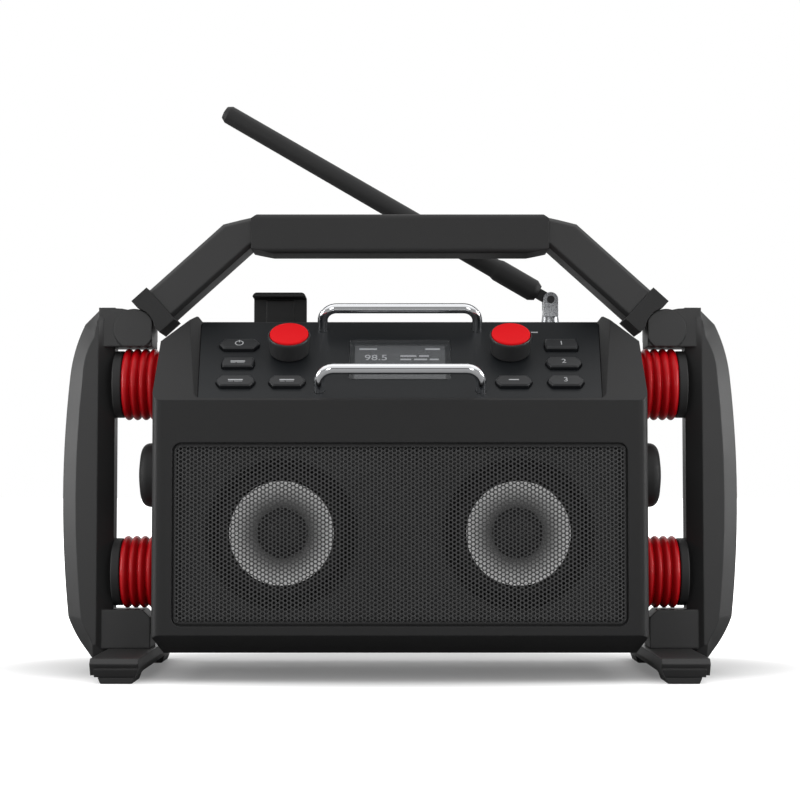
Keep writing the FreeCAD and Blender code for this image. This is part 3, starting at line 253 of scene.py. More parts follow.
looks = {
    "housing": {"base": (0.0100, 0.0100, 0.0103), "roughness": 0.50, "grainScale": 1500.0,
                "grainStrength": 0.35, "grainDepth": 0.00012, "specular": 0.34, "edge": 0.0010},
    "panel": {"base": (0.0098, 0.0112, 0.0128), "roughness": 0.42, "grainScale": 1900.0,
              "grainStrength": 0.12, "grainDepth": 0.00006, "specular": 0.24, "edge": 0.0006},
    "hoop": {"base": (0.0230, 0.0230, 0.0233), "roughness": 0.42, "grainScale": 1200.0,
             "grainStrength": 0.3, "grainDepth": 0.00012, "edge": 0.0014, "wear": 0.3, "specular": 0.45},
    "grip": {"base": (0.0190, 0.0190, 0.0193), "roughness": 0.60, "grainScale": 1700.0,
             "grainStrength": 0.5, "grainDepth": 0.00015, "edge": 0.001, "specular": 0.4},
    "damper": {"base": (0.50, 0.0012, 0.0050), "roughness": 0.36, "grainScale": 700.0, "specular": 0.26,
               "grainStrength": 0.12, "grainDepth": 0.0002, "coat": 0.06, "spread": 0.06, "wear": 0.05},
    "rubber": {"base": (0.0200, 0.0200, 0.0203), "roughness": 0.60, "grainScale": 900.0, "specular": 0.35,
               "grainStrength": 0.4, "grainDepth": 0.0002, "wear": 0.2},
    "grille": {"base": (0.0360, 0.0360, 0.0365), "roughness": 0.45, "grainScale": 2400.0,
               "grainStrength": 0.2, "grainDepth": 0.00006, "edge": 0.0003, "specular": 0.45},
    "knob": {"base": (0.0300, 0.0302, 0.0310), "roughness": 0.42, "grainScale": 1800.0, "specular": 0.35,
             "grainStrength": 0.2, "grainDepth": 0.00008, "edge": 0.0005},
    "cap": {"base": (0.72, 0.0032, 0.0076), "roughness": 0.50, "grainScale": 1400.0, "specular": 0.12,
            "grainStrength": 0.1, "grainDepth": 0.00006, "spread": 0.04, "wear": 0.05, "edge": 0.0004},
    "key": {"base": (0.0105, 0.0115, 0.0130), "roughness": 0.36, "grainScale": 2200.0, "specular": 0.42,
            "grainStrength": 0.15, "grainDepth": 0.00005, "edge": 0.0005},
    "mark": {"base": (0.42, 0.43, 0.44), "roughness": 0.5, "grainScale": 2500.0,
             "grainStrength": 0.1, "grainDepth": 0.00004, "edge": 0.0001},
    "dustCap": {"base": (0.020, 0.020, 0.021), "roughness": 0.5, "grainScale": 700.0,
                "grainStrength": 0.4, "grainDepth": 0.0002, "edge": 0.0003},
    "basket": {"base": (0.024, 0.024, 0.0245), "roughness": 0.6, "grainScale": 900.0,
               "grainStrength": 0.4, "grainDepth": 0.0002, "edge": 0.0006, "specular": 0.3},
    "baffle": {"base": (0.075, 0.075, 0.076), "roughness": 0.7, "grainScale": 900.0,
               "grainStrength": 0.3, "grainDepth": 0.0001, "edge": 0.0006, "specular": 0.2},
    "shade": {"base": (0.0240, 0.0240, 0.0243), "roughness": 0.7, "grainScale": 900.0,
              "grainStrength": 0.3, "grainDepth": 0.0001, "edge": 0.0004, "specular": 0.2},
    "board": {"base": (0.01, 0.06, 0.025), "roughness": 0.4, "grainScale": 500.0,
              "grainStrength": 0.2, "grainDepth": 0.0001, "edge": 0.0003},
    "antennaMetal": {"base": (0.11, 0.11, 0.114), "roughness": 0.30, "grainScale": 1600.0,
                     "grainStrength": 0.2, "grainDepth": 0.00006, "edge": 0.0005, "specular": 0.6},
    "blackSteel": {"base": (0.016, 0.016, 0.017), "roughness": 0.32, "grainScale": 1600.0,
                   "grainStrength": 0.2, "grainDepth": 0.00005, "edge": 0.0004, "specular": 0.6},
}
finish = {name: mouldedFinish(name + "Finish", look) for name, look in looks.items()}

# Bright metal, and the lit parts of the display

metals = {
    "chrome": {"base": (0.86, 0.87, 0.89), "roughness": 0.07, "grainScale": 60.0, "grainStrength": 0.02},
    "steel": {"base": (0.50, 0.51, 0.53), "roughness": 0.28, "grainScale": 900.0, "grainStrength": 0.2},
}
metalGrain = {"smoothest": 0.8, "roughest": 1.3, "depth": 0.0001}
glows = {
    "screen": {"colour": (0.088, 0.091, 0.095), "strength": 0.9},
    "lit": {"colour": (0.80, 0.82, 0.85), "strength": 0.55},
    "litRed": {"colour": (0.55, 0.06, 0.05), "strength": 0.6},
}
glowGrain = {"unlit": 0.4, "roughness": 0.4, "dimmest": 0.92, "scale": 2600.0}


def metalFinish(name, look):
    m = metalGrain
    rough = look["roughness"]
    material, nodes, links, shader = startMaterial(name, look["base"], rough, 1.0)
    streaks = objectNoise(nodes, links, look["grainScale"])
    brushed = noiseRange(nodes, links, streaks, rough * m["smoothest"], rough * m["roughest"])
    links.new(brushed, shader.inputs["Roughness"])
    addBump(nodes, links, shader, streaks, look["grainStrength"], m["depth"])
    return material


def glowFinish(name, look):
    g = glowGrain
    colour = look["colour"]
    material, nodes, links, shader = startMaterial(name, tinted(colour, g["unlit"])[:3], g["roughness"])
    shade = colourMix(nodes)
    shade.inputs["A"].default_value = tinted(colour, g["dimmest"])
    shade.inputs["B"].default_value = tinted(colour, 1.0)
    links.new(objectNoise(nodes, links, g["scale"], detail=1.0), shade.inputs["Factor"])
    links.new(shade.outputs["Result"], shader.inputs["Emission Color"])
    shader.inputs["Emission Strength"].default_value = look["strength"]
    return material


for name, look in metals.items():
    finish[name] = metalFinish(name + "Finish", look)
for name, look in glows.items():
    finish[name] = glowFinish(name + "Finish", look)
print("stage: finishes made,", len(finish))

# Camera at the photo's place and angle

cameraPlace = {"place": (0.0, -1.222, 0.112), "focalPixels": 1902.0, "horizonPixel": 495.0,
               "pictureWidth": 800.0, "sensor": 36.0}
cameraData = bpy.data.cameras.new("camera")
cameraData.sensor_width = cameraPlace["sensor"]
cameraData.lens = cameraPlace["focalPixels"] / cameraPlace["pictureWidth"] * cameraPlace["sensor"]
camera = bpy.data.objects.new("camera", cameraData)
camera.location = cameraPlace["place"]
belowMiddle = cameraPlace["horizonPixel"] - cameraPlace["pictureWidth"] / 2
camera.rotation_euler = (math.pi / 2 + math.atan(belowMiddle / cameraPlace["focalPixels"]), 0, 0)
scene.collection.objects.link(camera)
scene.camera = camera

# Soft lamps and an even studio behind them

lamps = {
    "top": {"place": (0.0, 0.25, 1.9), "aim": (0, 0.1, 0.1), "size": (2.8, 2.2), "watts": 6.0},
    "leftSide": {"place": (-1.8, -0.2, 0.40), "aim": (0, 0, 0.15), "size": (0.8, 0.7), "watts": 12.0},
    "rightSide": {"place": (1.8, -0.2, 0.40), "aim": (0, 0, 0.15), "size": (0.8, 0.7), "watts": 12.0},
    "frontLeft": {"place": (-0.85, -2.0, 0.35), "aim": (0, 0, 0.14), "size": (0.5, 0.9), "watts": 6.5},
    "frontRight": {"place": (0.85, -2.0, 0.35), "aim": (0, 0, 0.14), "size": (0.5, 0.9), "watts": 6.5},
    "rear": {"place": (0.0, 2.4, 0.8), "aim": (0, 0, 0.15), "size": (2.4, 1.2), "watts": 9.0},
}
studio = {"front": 0.13, "sides": 0.34, "sideFall": 2.0, "top": 0.76, "topRange": (0.12, 0.62)}


def addLamp(name, look):
    data = bpy.data.lights.new(name, "AREA")
    data.shape = "RECTANGLE"
    data.size = look["size"][0]
    data.size_y = look["size"][1]
    data.energy = look["watts"]
    lamp = bpy.data.objects.new(name, data)
    lamp.location = look["place"]
    view = Vector(look["aim"]) - Vector(look["place"])
    lamp.rotation_euler = view.to_track_quat("-Z", "Y").to_euler()
    scene.collection.objects.link(lamp)


def paintWorld():
    world = bpy.data.worlds.new("studio")
    scene.world = world
    world.use_nodes = True
    nodes = world.node_tree.nodes
    links = world.node_tree.links
    coords = nodes.new("ShaderNodeTexCoord")
    split = nodes.new("ShaderNodeSeparateXYZ")
    links.new(coords.outputs["Generated"], split.inputs["Vector"])
    across = mathNode(nodes, links, "ABSOLUTE", split.outputs["X"])
    across = mathNode(nodes, links, "POWER", across, studio["sideFall"])
    above = spreadRange(nodes, links, split.outputs["Z"], studio["topRange"], kind="SMOOTHSTEP")
    sides = mathNode(nodes, links, "MULTIPLY_ADD", across, studio["sides"], studio["front"])
    light = mathNode(nodes, links, "MULTIPLY_ADD", above, studio["top"], sides)
    path = nodes.new("ShaderNodeLightPath")
    shown = mathNode(nodes, links, "MAXIMUM", light, path.outputs["Is Camera Ray"])
    links.new(shown, nodes["Background"].inputs["Strength"])
    nodes["Background"].inputs["Color"].default_value = (1, 1, 1, 1)


for name, look in lamps.items():
    addLamp(name, look)
paintWorld()
scene.view_settings.view_transform = "Standard"

# Floor: white far away, pale grey in an oval round the radio: a painted shadow there, darker paint and a
# weaker glow, added to the soft cast shadow

floorLook = {"size": 60.0, "grey": 0.90, "bounce": 0.30, "roughness": (0.70, 0.80), "specular": 0.1,
             "speckleScale": 30.0, "ovalScale": (4.0, 8.3, 0.0), "ovalShift": (0.0, -0.25, 0.0),
             "paintedShadowFade": (0.80, 1.60), "paintedShadowGlow": 0.15, "paintedShadowShare": 0.40}


def layFloor():
    f = floorLook
    bm = bmesh.new()
    bmesh.ops.create_grid(bm, x_segments=4, y_segments=4, size=f["size"])
    mesh = bpy.data.meshes.new("floor")
    bm.to_mesh(mesh)
    bm.free()
    floor = bpy.data.objects.new("floor", mesh)
    scene.collection.objects.link(floor)
    material, nodes, links, shader = startMaterial("floorPaint", [f["grey"]] * 3, f["roughness"][0])
    shader.inputs["Specular IOR Level"].default_value = f["specular"]
    speckle = objectNoise(nodes, links, f["speckleScale"])
    links.new(noiseRange(nodes, links, speckle, *f["roughness"]), shader.inputs["Roughness"])
    coords = nodes.new("ShaderNodeTexCoord")
    oval = nodes.new("ShaderNodeVectorMath")
    oval.operation = "MULTIPLY_ADD"
    oval.inputs[1].default_value = f["ovalScale"]
    oval.inputs[2].default_value = f["ovalShift"]
    links.new(coords.outputs["Object"], oval.inputs[0])
    away = nodes.new("ShaderNodeVectorMath")
    away.operation = "LENGTH"
    links.new(oval.outputs["Vector"], away.inputs[0])
    # painted shadow: the floor's glow is weakest in the oval round the radio and full far away
    paintedShadowFade = spreadRange(nodes, links, away.outputs["Value"], f["paintedShadowFade"], (f["paintedShadowGlow"], 1.0), "SMOOTHSTEP")
    seen = nodes.new("ShaderNodeLightPath").outputs["Is Camera Ray"]
    # painted shadow: to the camera the floor is painted darker in the oval; other rays see the bounce grey
    # everywhere
    shown = mathNode(nodes, links, "MULTIPLY_ADD", paintedShadowFade, 1 - f["paintedShadowShare"], f["paintedShadowShare"])
    paint = colourMix(nodes)
    paint.inputs["A"].default_value = tinted([f["bounce"]] * 3, 1.0)
    paint.inputs["B"].default_value = tinted([f["grey"]] * 3, 1.0)
    links.new(mathNode(nodes, links, "MULTIPLY", seen, shown), paint.inputs["Factor"])
    links.new(paint.outputs["Result"], shader.inputs["Base Color"])
    shader.inputs["Emission Color"].default_value = (1, 1, 1, 1)
    links.new(mathNode(nodes, links, "MULTIPLY", seen, paintedShadowFade), shader.inputs["Emission Strength"])
    mesh.materials.append(material)


layFloor()
print("stage: camera, floor and lamps placed")

# Housing, hoop, handle and small parts: rounded copies of the solids, each with its finish and edge

plainPieces = {
    "front_housing": ("housing", 0.0008), "rear_cover": ("housing", 0.0008),
    "battery_door": ("housing", 0.0006), "clamp_jaw": ("housing", 0.0007),
    "control_panel": ("panel", 0.0003),
    "handle_bar": ("hoop", 0.0014), "handle_collars": ("rubber", 0.0008),
    "guard_left": ("hoop", 0.0018), "guard_right": ("hoop", 0.0018),
    "skid_left": ("hoop", 0.0012), "skid_right": ("hoop", 0.0012),
    "handle_grip": ("grip", 0.0010), "foot_pads": ("rubber", 0.0006),
    "speaker_baffle": ("baffle", 0.0), "speaker_baskets": ("basket", 0.0),
    "damper_seats": ("rubber", 0.0006), "antenna_base": ("antennaMetal", 0.0002),
    "antenna_knuckle": ("steel", 0.0003), "antenna_pin": ("blackSteel", 0.0002),
    "collar_bolts": ("blackSteel", 0.0003), "skid_bolts": ("blackSteel", 0.0003),
    "housing_screws": ("blackSteel", 0.0003), "hinge_pin": ("steel", 0.0002),
    "mains_inlet": ("basket", 0.0002), "door_seal": ("rubber", 0.0),
    "battery_pack": ("housing", 0.0006), "antenna_rod": ("rubber", 0.0004),
}
for nodeName, (finishName, width) in plainPieces.items():
    finishedCopy(nodeName, finish[finishName], width, 3 if width > rounding["wide"] else 2)

hiddenPieces = {
    "damper_bolts": "steel", "speaker_magnets": "basket", "control_board": "board",
    "tact_switches": "basket", "rotary_encoders": "steel", "clamp_guide": "basket",
    "amplifier_board": "board", "display_module": "basket",
}
for nodeName, finishName in hiddenPieces.items():
    solid = frame["nodes"][nodeName].data
    solid.materials.clear()
    solid.materials.append(finish[finishName])
print("stage: housing and hoop dressed")

# Rubber dampers

damper = {"folds": 5, "perFold": 10, "crest": 0.0230, "valley": 0.0028, "roundness": 0.62,
          "bore": 0.0035, "lip": 0.001, "inset": 0.0002, "steps": 64, "sharp": 50}


def damperOutline(length):
    d = damper
    foot = d["crest"] - d["valley"]
    points = [(d["bore"], 0.0), (foot - d["lip"], 0.0)]
    count = d["folds"] * d["perFold"]
    for i in range(count + 1):
        along = i / count
        wave = abs(math.sin(math.pi * d["folds"] * along)) ** d["roundness"]
        points.append((foot + d["valley"] * wave, d["inset"] + along * (length - 2 * d["inset"])))
    points += [(foot - d["lip"], length), (d["bore"], length)]
    return points


def makeDamper(node, side):
    low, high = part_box(node)
    start = low if side > 0 else high
    centre = Vector((start.x, 0, (low.z + high.z) / 2))
    bm = spunShape(damperOutline(high.x - low.x), damper["steps"], centre, (side, 0, 0), closed=True)
    markSharp(bm, damper["sharp"])
    newPiece(node + "_bellows", bm, finish["damper"], "root", (node,))


for level in ("upper", "lower"):
    makeDamper("damper_" + level + "_right", 1)
    makeDamper("damper_" + level + "_left", -1)

# Bump stops on the sides of the housing

bumpStop = {"seat": 0.1495, "corner": 0.0055, "crown": 0.0016, "steps": 56, "cornerSteps": 8,
            "crownSteps": 6, "sharp": 40}


def makeBumpStops():
    b = bumpStop
    low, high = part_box("bump_stops")
    reach = high.x - b["seat"]
    radius = (high.z - low.z) / 2
    flat = radius - b["corner"]
    shoulder = reach - b["crown"]
    outline = [(0.0, 0.0), (radius, 0.0)]
    for i in range(b["cornerSteps"] + 1):
        angle = math.pi / 2 * i / b["cornerSteps"]
        outline.append((flat + b["corner"] * math.cos(angle),
                        shoulder - b["corner"] + b["corner"] * math.sin(angle)))
    for i in range(1, b["crownSteps"] + 1):
        left = 1 - i / b["crownSteps"]
        outline.append((flat * left, reach - b["crown"] * left ** 2))
    for side in (-1, 1):
        centre = Vector((side * b["seat"], 0, (high.z + low.z) / 2))
        bm = spunShape(outline, b["steps"], centre, (side, 0, 0))
        markSharp(bm, b["sharp"])
        name = "bump_stop_right" if side > 0 else "bump_stop_left"
        newPiece(name, bm, finish["rubber"], "root", ("bump_stops",) if side > 0 else ())


makeBumpStops()
print("stage: dampers and bump stops spun")

# Sloping panel: x runs across it, v up its slope, lift square to its face

panel = {"slope": 38.0, "origin": (0, -0.079, 0.1673)}


def onPanel(bm, x, v, lift=0.0):
    turn = Matrix.Rotation(math.radians(panel["slope"]), 4, "X")
    matrix = Matrix.Translation(panel["origin"]) @ turn @ Matrix.Translation((x, v, lift))
    bmesh.ops.transform(bm, matrix=matrix, verts=bm.verts[:])


# Knobs and their press caps

knob = {"x": 0.0689, "v": 0.055, "base": 0.0122, "top": 0.0132, "height": 0.0134, "foot": 0.0006,
        "chamfer": 0.0006, "lip": 0.0002, "bandLow": 0.003, "bandHigh": 0.0012, "shoulder": 0.0004,
        "rim": 0.0003, "well": 0.0110, "steps": 72, "sharp": 38}
cap = {"radius": 0.0120, "gap": 0.00035, "low": 0.0122, "shoulder": 0.0135, "edge": 0.0011,
       "edgeRise": 0.0009, "crown": 0.0006, "edgeSteps": 5, "crownSteps": 8, "steps": 72, "sharp": 50}


def makeKnob(name, x):
    k = knob
    well = cap["radius"] + cap["gap"]
    height = k["height"]
    outline = [(0.0, k["foot"]), (k["base"] - k["chamfer"], k["foot"]),
               (k["base"], k["foot"] + k["chamfer"]), (k["top"] - k["lip"], height - k["bandLow"]),
               (k["top"], height - k["bandHigh"]), (k["top"] - k["lip"], height - k["shoulder"]),
               (well + k["rim"], height), (well, height - k["rim"]), (well, k["well"]), (0.0, k["well"])]
    bm = spunShape(outline, k["steps"], Vector((0, 0, 0)), (0, 0, 1))
    onPanel(bm, x, k["v"])
    markSharp(bm, k["sharp"])
    newPiece(name + "_body", bm, finish["knob"], name + "_body", (name,))


def makeCap(name, x):
    c = cap
    flat = c["radius"] - c["edge"]
    crownFoot = c["shoulder"] + c["edgeRise"]
    outline = [(0.0, c["low"]), (c["radius"], c["low"]), (c["radius"], c["shoulder"])]
    for i in range(1, c["edgeSteps"] + 1):
        angle = math.pi / 2 * i / c["edgeSteps"]
        outline.append((flat + c["edge"] * math.cos(angle), c["shoulder"] + c["edgeRise"] * math.sin(angle)))
    for i in range(1, c["crownSteps"] + 1):
        left = 1 - i / c["crownSteps"]
        outline.append((flat * left, crownFoot + c["crown"] * (1 - left ** 2)))
    bm = spunShape(outline, c["steps"], Vector((0, 0, 0)), (0, 0, 1))
    onPanel(bm, x, knob["v"])
    markSharp(bm, c["sharp"])
    newPiece(name + "_disc", bm, finish["cap"], name + "_body", (name,))


for side, sideName in ((-1, "volume"), (1, "tuning")):
    makeKnob(sideName + "_knob", side * knob["x"])
    makeCap(sideName + "_cap", side * knob["x"])
print("stage: knobs turned")

# Keys with their marks: x and v are millimetres on the panel

keys = {
    "power_button": {"x": -100.8, "v": 61.5, "mark": "ring"},
    "source_button": {"x": -100.3, "v": 41.2, "mark": "bar"},
    "menu_button": {"x": -100.4, "v": 21.0, "mark": "bar"},
    "info_button": {"x": -69.0, "v": 21.0, "mark": "bar"},
    "preset_one_button": {"x": 101.2, "v": 61.5, "mark": "1"},
    "preset_two_button": {"x": 101.4, "v": 41.2, "mark": "2"},
    "preset_three_button": {"x": 101.2, "v": 21.0, "mark": "3"},
    "back_button": {"x": 69.5, "v": 21.0, "mark": "dash"},
}
keyLook = {"face": 0.0026, "raised": 0.00006, "edge": 0.00035, "figure": 0.0062, "ring": 0.0021,
           "ringGrowth": 1.28, "ringSteps": 28}
markBlocks = {  # centre and size of each small block
    "ring": [((0, 0.0021, 0.00002), (0.0006, 0.0026, 0.00004))],
    "bar": [((0, 0, 0), (0.0090, 0.0011, 0.00005)), ((-0.0028, -0.0016, 0), (0.0030, 0.0004, 0.00005)),
            ((0.0018, -0.0016, 0), (0.0048, 0.0004, 0.00005))],
    "dash": [((0, 0, 0), (0.0062, 0.0010, 0.00005))],
}


def textShape(words, size, thickness=0.00004):
    curve = bpy.data.curves.new("figures", "FONT")
    curve.body = words
    curve.size = size
    curve.extrude = thickness
    curve.align_x = "CENTER"
    curve.align_y = "CENTER"
    holder = bpy.data.objects.new("figures", curve)
    scene.collection.objects.link(holder)
    bpy.context.view_layer.update()
    mesh = bpy.data.meshes.new_from_object(holder.evaluated_get(bpy.context.evaluated_depsgraph_get()))
    bm = bmesh.new()
    bm.from_mesh(mesh)
    bpy.data.objects.remove(holder)
    bpy.data.meshes.remove(mesh)
    return bm


def keyMark(kind):
    if kind.isdigit():
        return textShape(kind, keyLook["figure"])
    bm = bmesh.new()
    if kind == "ring":
        made = bmesh.ops.create_circle(bm, cap_ends=False, segments=keyLook["ringSteps"],
                                       radius=keyLook["ring"])["verts"]
        edges = list({edge for vert in made for edge in vert.link_edges})
        grown = bmesh.ops.extrude_edge_only(bm, edges=edges)["geom"]
        outer = [item for item in grown if isinstance(item, bmesh.types.BMVert)]
        growth = keyLook["ringGrowth"]
        bmesh.ops.scale(bm, vec=(growth, growth, 1.0), verts=outer)
    for centre, size in markBlocks[kind]:
        blockShape(bm, centre, size)
    return bm


for keyName, key in keys.items():
    finishedCopy(keyName, finish["key"], keyLook["edge"])
    bm = keyMark(key["mark"])
    onPanel(bm, key["x"] * mm, key["v"] * mm, keyLook["face"] + keyLook["raised"])
    newPiece(keyName + "_mark", bm, finish["mark"], keyName + "_body", smooth=False)
print("stage: keys marked")

# Display behind its window: plain bars and figures only

display = {"middle": 0.047, "depth": -0.0024, "raised": 0.0001, "screen": (0.0562, 0.0372, 0.0012),
           "barThickness": 0.0001, "figures": "98.5", "figureSize": 0.0085, "figurePlace": (-0.0150, 0.0052),
           "needle": (0.0100, 0.0012, 0.0001), "needlePlace": (-0.0200, -0.0095)}
displayBars = (  # x, y, width, height
    (-0.0200, 0.0150, 0.0110, 0.0017), (0.0205, 0.0150, 0.0090, 0.0017),
    (0.0052, 0.0072, 0.0100, 0.0015), (0.0150, 0.0072, 0.0060, 0.0015),
    (0.0036, 0.0034, 0.0068, 0.0015), (0.0128, 0.0034, 0.0082, 0.0015),
    (0.0214, 0.0034, 0.0056, 0.0015), (-0.0120, -0.0035, 0.0260, 0.0012),
    (0.0110, -0.0035, 0.0140, 0.0012),
)
signalBars = {"count": 5, "x": 0.0160, "y": -0.0118, "pitch": 0.0022, "width": 0.0013, "low": 0.0012,
              "step": 0.0007}
window = {"base": (0.11, 0.115, 0.12), "roughness": 0.10, "alpha": 0.30, "smear": (0.04, 0.12),
          "smearScale": 40.0, "edge": 0.0002}


def windowFinish():
    material, nodes, links, shader = startMaterial("windowFinish", window["base"], window["roughness"])
    shader.inputs["Alpha"].default_value = window["alpha"]
    smear = objectNoise(nodes, links, window["smearScale"])
    links.new(noiseRange(nodes, links, smear, *window["smear"]), shader.inputs["Roughness"])
    return material


def placeOnDisplay(name, bm, finishName, x=0.0, y=0.0, lift=display["raised"]):
    onPanel(bm, x, display["middle"] + y, display["depth"] + lift)
    newPiece(name, bm, finish[finishName], "root", smooth=False)


def makeDisplay():
    d = display
    screen = bmesh.new()
    blockShape(screen, (0, 0, 0), d["screen"])
    placeOnDisplay("display_screen", screen, "screen", lift=-d["screen"][2] / 2)
    bars = bmesh.new()
    for x, y, width, height in displayBars:
        blockShape(bars, (x, y, 0), (width, height, d["barThickness"]))
    s = signalBars
    for step in range(s["count"]):
        tall = s["low"] + step * s["step"]
        centre = (s["x"] + step * s["pitch"], s["y"] + tall / 2, 0)
        blockShape(bars, centre, (s["width"], tall, d["barThickness"]))
    placeOnDisplay("display_bars", bars, "lit")
    placeOnDisplay("display_figures", textShape(d["figures"], d["figureSize"]), "lit", *d["figurePlace"])
    needle = bmesh.new()
    blockShape(needle, (0, 0, 0), d["needle"])
    placeOnDisplay("display_needle", needle, "litRed", *d["needlePlace"])
    finishedCopy("display_lens", windowFinish(), window["edge"])


makeDisplay()

# Small index mark beside the right knob

indexMark = {"x": 0.0854, "v": 0.0777, "size": (0.0042, 0.0012, 0.00006)}


def makeIndexMark():
    bm = bmesh.new()
    blockShape(bm, (0, 0, 0), indexMark["size"])
    onPanel(bm, indexMark["x"], indexMark["v"], indexMark["size"][2] / 2)
    newPiece("index_mark", bm, finish["mark"], "root", smooth=False)


makeIndexMark()
print("stage: display lit")

# Chrome rails: a round face pushed along the bent way

rail = {"radius": 0.00325, "halfWidth": 0.049, "height": 0.016, "bend": 0.009, "root": 0.006,
        "steps": 28, "bendSteps": 12, "sharp": 60, "places": {"rail_front": 0.0128, "rail_rear": 0.081}}


def pushFace(bm, face, keep=False):
    made = bmesh.ops.extrude_face_region(bm, geom=[face])["geom"]
    if not keep:
        bmesh.ops.delete(bm, geom=[face], context="FACES_ONLY")
    grown = [item for item in made if isinstance(item, bmesh.types.BMFace)][0]
    return grown, [item for item in made if isinstance(item, bmesh.types.BMVert)]


def makeRail(node, v):
    r = rail
    turnX = r["halfWidth"] - r["bend"]
    turnZ = r["height"] - r["bend"]
    leg = turnZ + r["root"]
    bm = bmesh.new()
    ring = bmesh.ops.create_circle(bm, cap_ends=True, segments=r["steps"], radius=r["radius"])["verts"]
    bmesh.ops.translate(bm, vec=(-r["halfWidth"], 0, -r["root"]), verts=ring)
    face, verts = pushFace(bm, bm.faces[:][0], keep=True)
    bmesh.ops.translate(bm, vec=(0, 0, leg), verts=verts)
    for centreX in (-turnX, turnX):
        for step in range(r["bendSteps"]):
            face, verts = pushFace(bm, face)
            bmesh.ops.rotate(bm, cent=(centreX, 0, turnZ), verts=verts,
                             matrix=Matrix.Rotation(math.pi / 2 / r["bendSteps"], 3, "Y"))
        if centreX < 0:
            face, verts = pushFace(bm, face)
            bmesh.ops.translate(bm, vec=(2 * turnX, 0, 0), verts=verts)
    face, verts = pushFace(bm, face)
    bmesh.ops.translate(bm, vec=(0, 0, -leg), verts=verts)
    bmesh.ops.recalc_face_normals(bm, faces=bm.faces[:])
    markSharp(bm, r["sharp"])
    onPanel(bm, 0, v)
    newPiece(node + "_bar", bm, finish["chrome"], "root", (node,))


for node, v in rail["places"].items():
    makeRail(node, v)
print("stage: rails bent")

# Perforated grille: two six-sided cells repeated over the plate, and a rim round them

grille = {"pitch": 0.0026, "hole": 0.00105, "holeSides": 6, "thickness": 0.0008, "merge": 0.00002,
          "left": -0.1360, "right": 0.1360, "low": 0.0343, "high": 0.1426, "front": -0.0792,
          "sink": 0.0001, "corner": 0.0047, "cornerSteps": 6, "border": 0.0022, "rimDepth": 0.0012,
          "rimEdge": 0.0004}


def onFront(bm, y):
    matrix = Matrix.Translation((0, y, 0)) @ Matrix.Rotation(math.pi / 2, 4, "X")
    bmesh.ops.transform(bm, matrix=matrix, verts=bm.verts[:])


def repeatPiece(piece, name, count, offset):
    array = piece.modifiers.new(name, "ARRAY")
    array.use_relative_offset = False
    array.use_constant_offset = True
    array.constant_offset_displace = offset
    array.count = count
    array.use_merge_vertices = True
    array.merge_threshold = grille["merge"]


def makeGrilleMesh():
    g = grille
    pitch = g["pitch"]
    across = pitch * math.sqrt(3) / 2
    columns = int((g["right"] - g["left"]) / (2 * across))
    rows = int((g["high"] - g["low"]) / pitch) - 1
    bm = bmesh.new()
    for shiftX, shiftZ in ((0, 0), (across, pitch / 2)):
        cell = []
        for radius in (pitch / math.sqrt(3), g["hole"]):
            cell += bmesh.ops.create_circle(bm, cap_ends=False, segments=g["holeSides"],
                                            radius=radius)["verts"]
        bmesh.ops.bridge_loops(bm, edges=list({edge for vert in cell for edge in vert.link_edges}))
        bmesh.ops.rotate(bm, cent=(0, 0, 0), matrix=Matrix.Rotation(math.pi / 6, 3, "Z"), verts=cell)
        startX = -(columns - 0.5) * across + shiftX
        startZ = (g["low"] + g["high"]) / 2 - (rows - 0.5) * pitch / 2 + shiftZ
        bmesh.ops.translate(bm, vec=(startX, startZ, 0), verts=cell)
    bmesh.ops.remove_doubles(bm, verts=bm.verts[:], dist=rounding["merge"])
    onFront(bm, g["front"] + g["sink"])
    piece = newPiece("grille_mesh", bm, finish["grille"], "root", ("speaker_grille",),
                     smooth=False)
    repeatPiece(piece, "columns", columns, (2 * across, 0, 0))
    repeatPiece(piece, "rows", rows, (0, 0, pitch))
    addThickness(piece, g["thickness"], 0.0)
    print("  grille cells:", columns * rows * 2)


def makeGrilleRim():
    g = grille
    bm = bmesh.new()
    made = bmesh.ops.create_grid(bm, x_segments=1, y_segments=1, size=1.0)["verts"]
    size = ((g["right"] - g["left"]) / 2, (g["high"] - g["low"]) / 2, 1)
    bmesh.ops.scale(bm, vec=size, verts=made)
    bmesh.ops.translate(bm, vec=((g["left"] + g["right"]) / 2, (g["low"] + g["high"]) / 2, 0), verts=made)
    bmesh.ops.bevel(bm, geom=made, offset=g["corner"], segments=g["cornerSteps"], profile=0.5,
                    affect="VERTICES", material=-1)
    face = max(bm.faces, key=lambda item: item.calc_area())
    bmesh.ops.inset_region(bm, faces=[face], thickness=g["border"], use_boundary=True, use_even_offset=True)
    bmesh.ops.delete(bm, geom=[face], context="FACES_ONLY")
    bmesh.ops.recalc_face_normals(bm, faces=bm.faces[:])
    if bm.faces[:][0].normal.z < 0:
        bmesh.ops.reverse_faces(bm, faces=bm.faces[:])
    onFront(bm, g["front"])
    piece = newPiece("grille_rim", bm, finish["housing"], "root", smooth=False)
    addThickness(piece, g["rimDepth"], -1.0)
    addBevel(piece, g["rimEdge"])


makeGrilleMesh()
makeGrilleRim()
print("stage: grille punched")
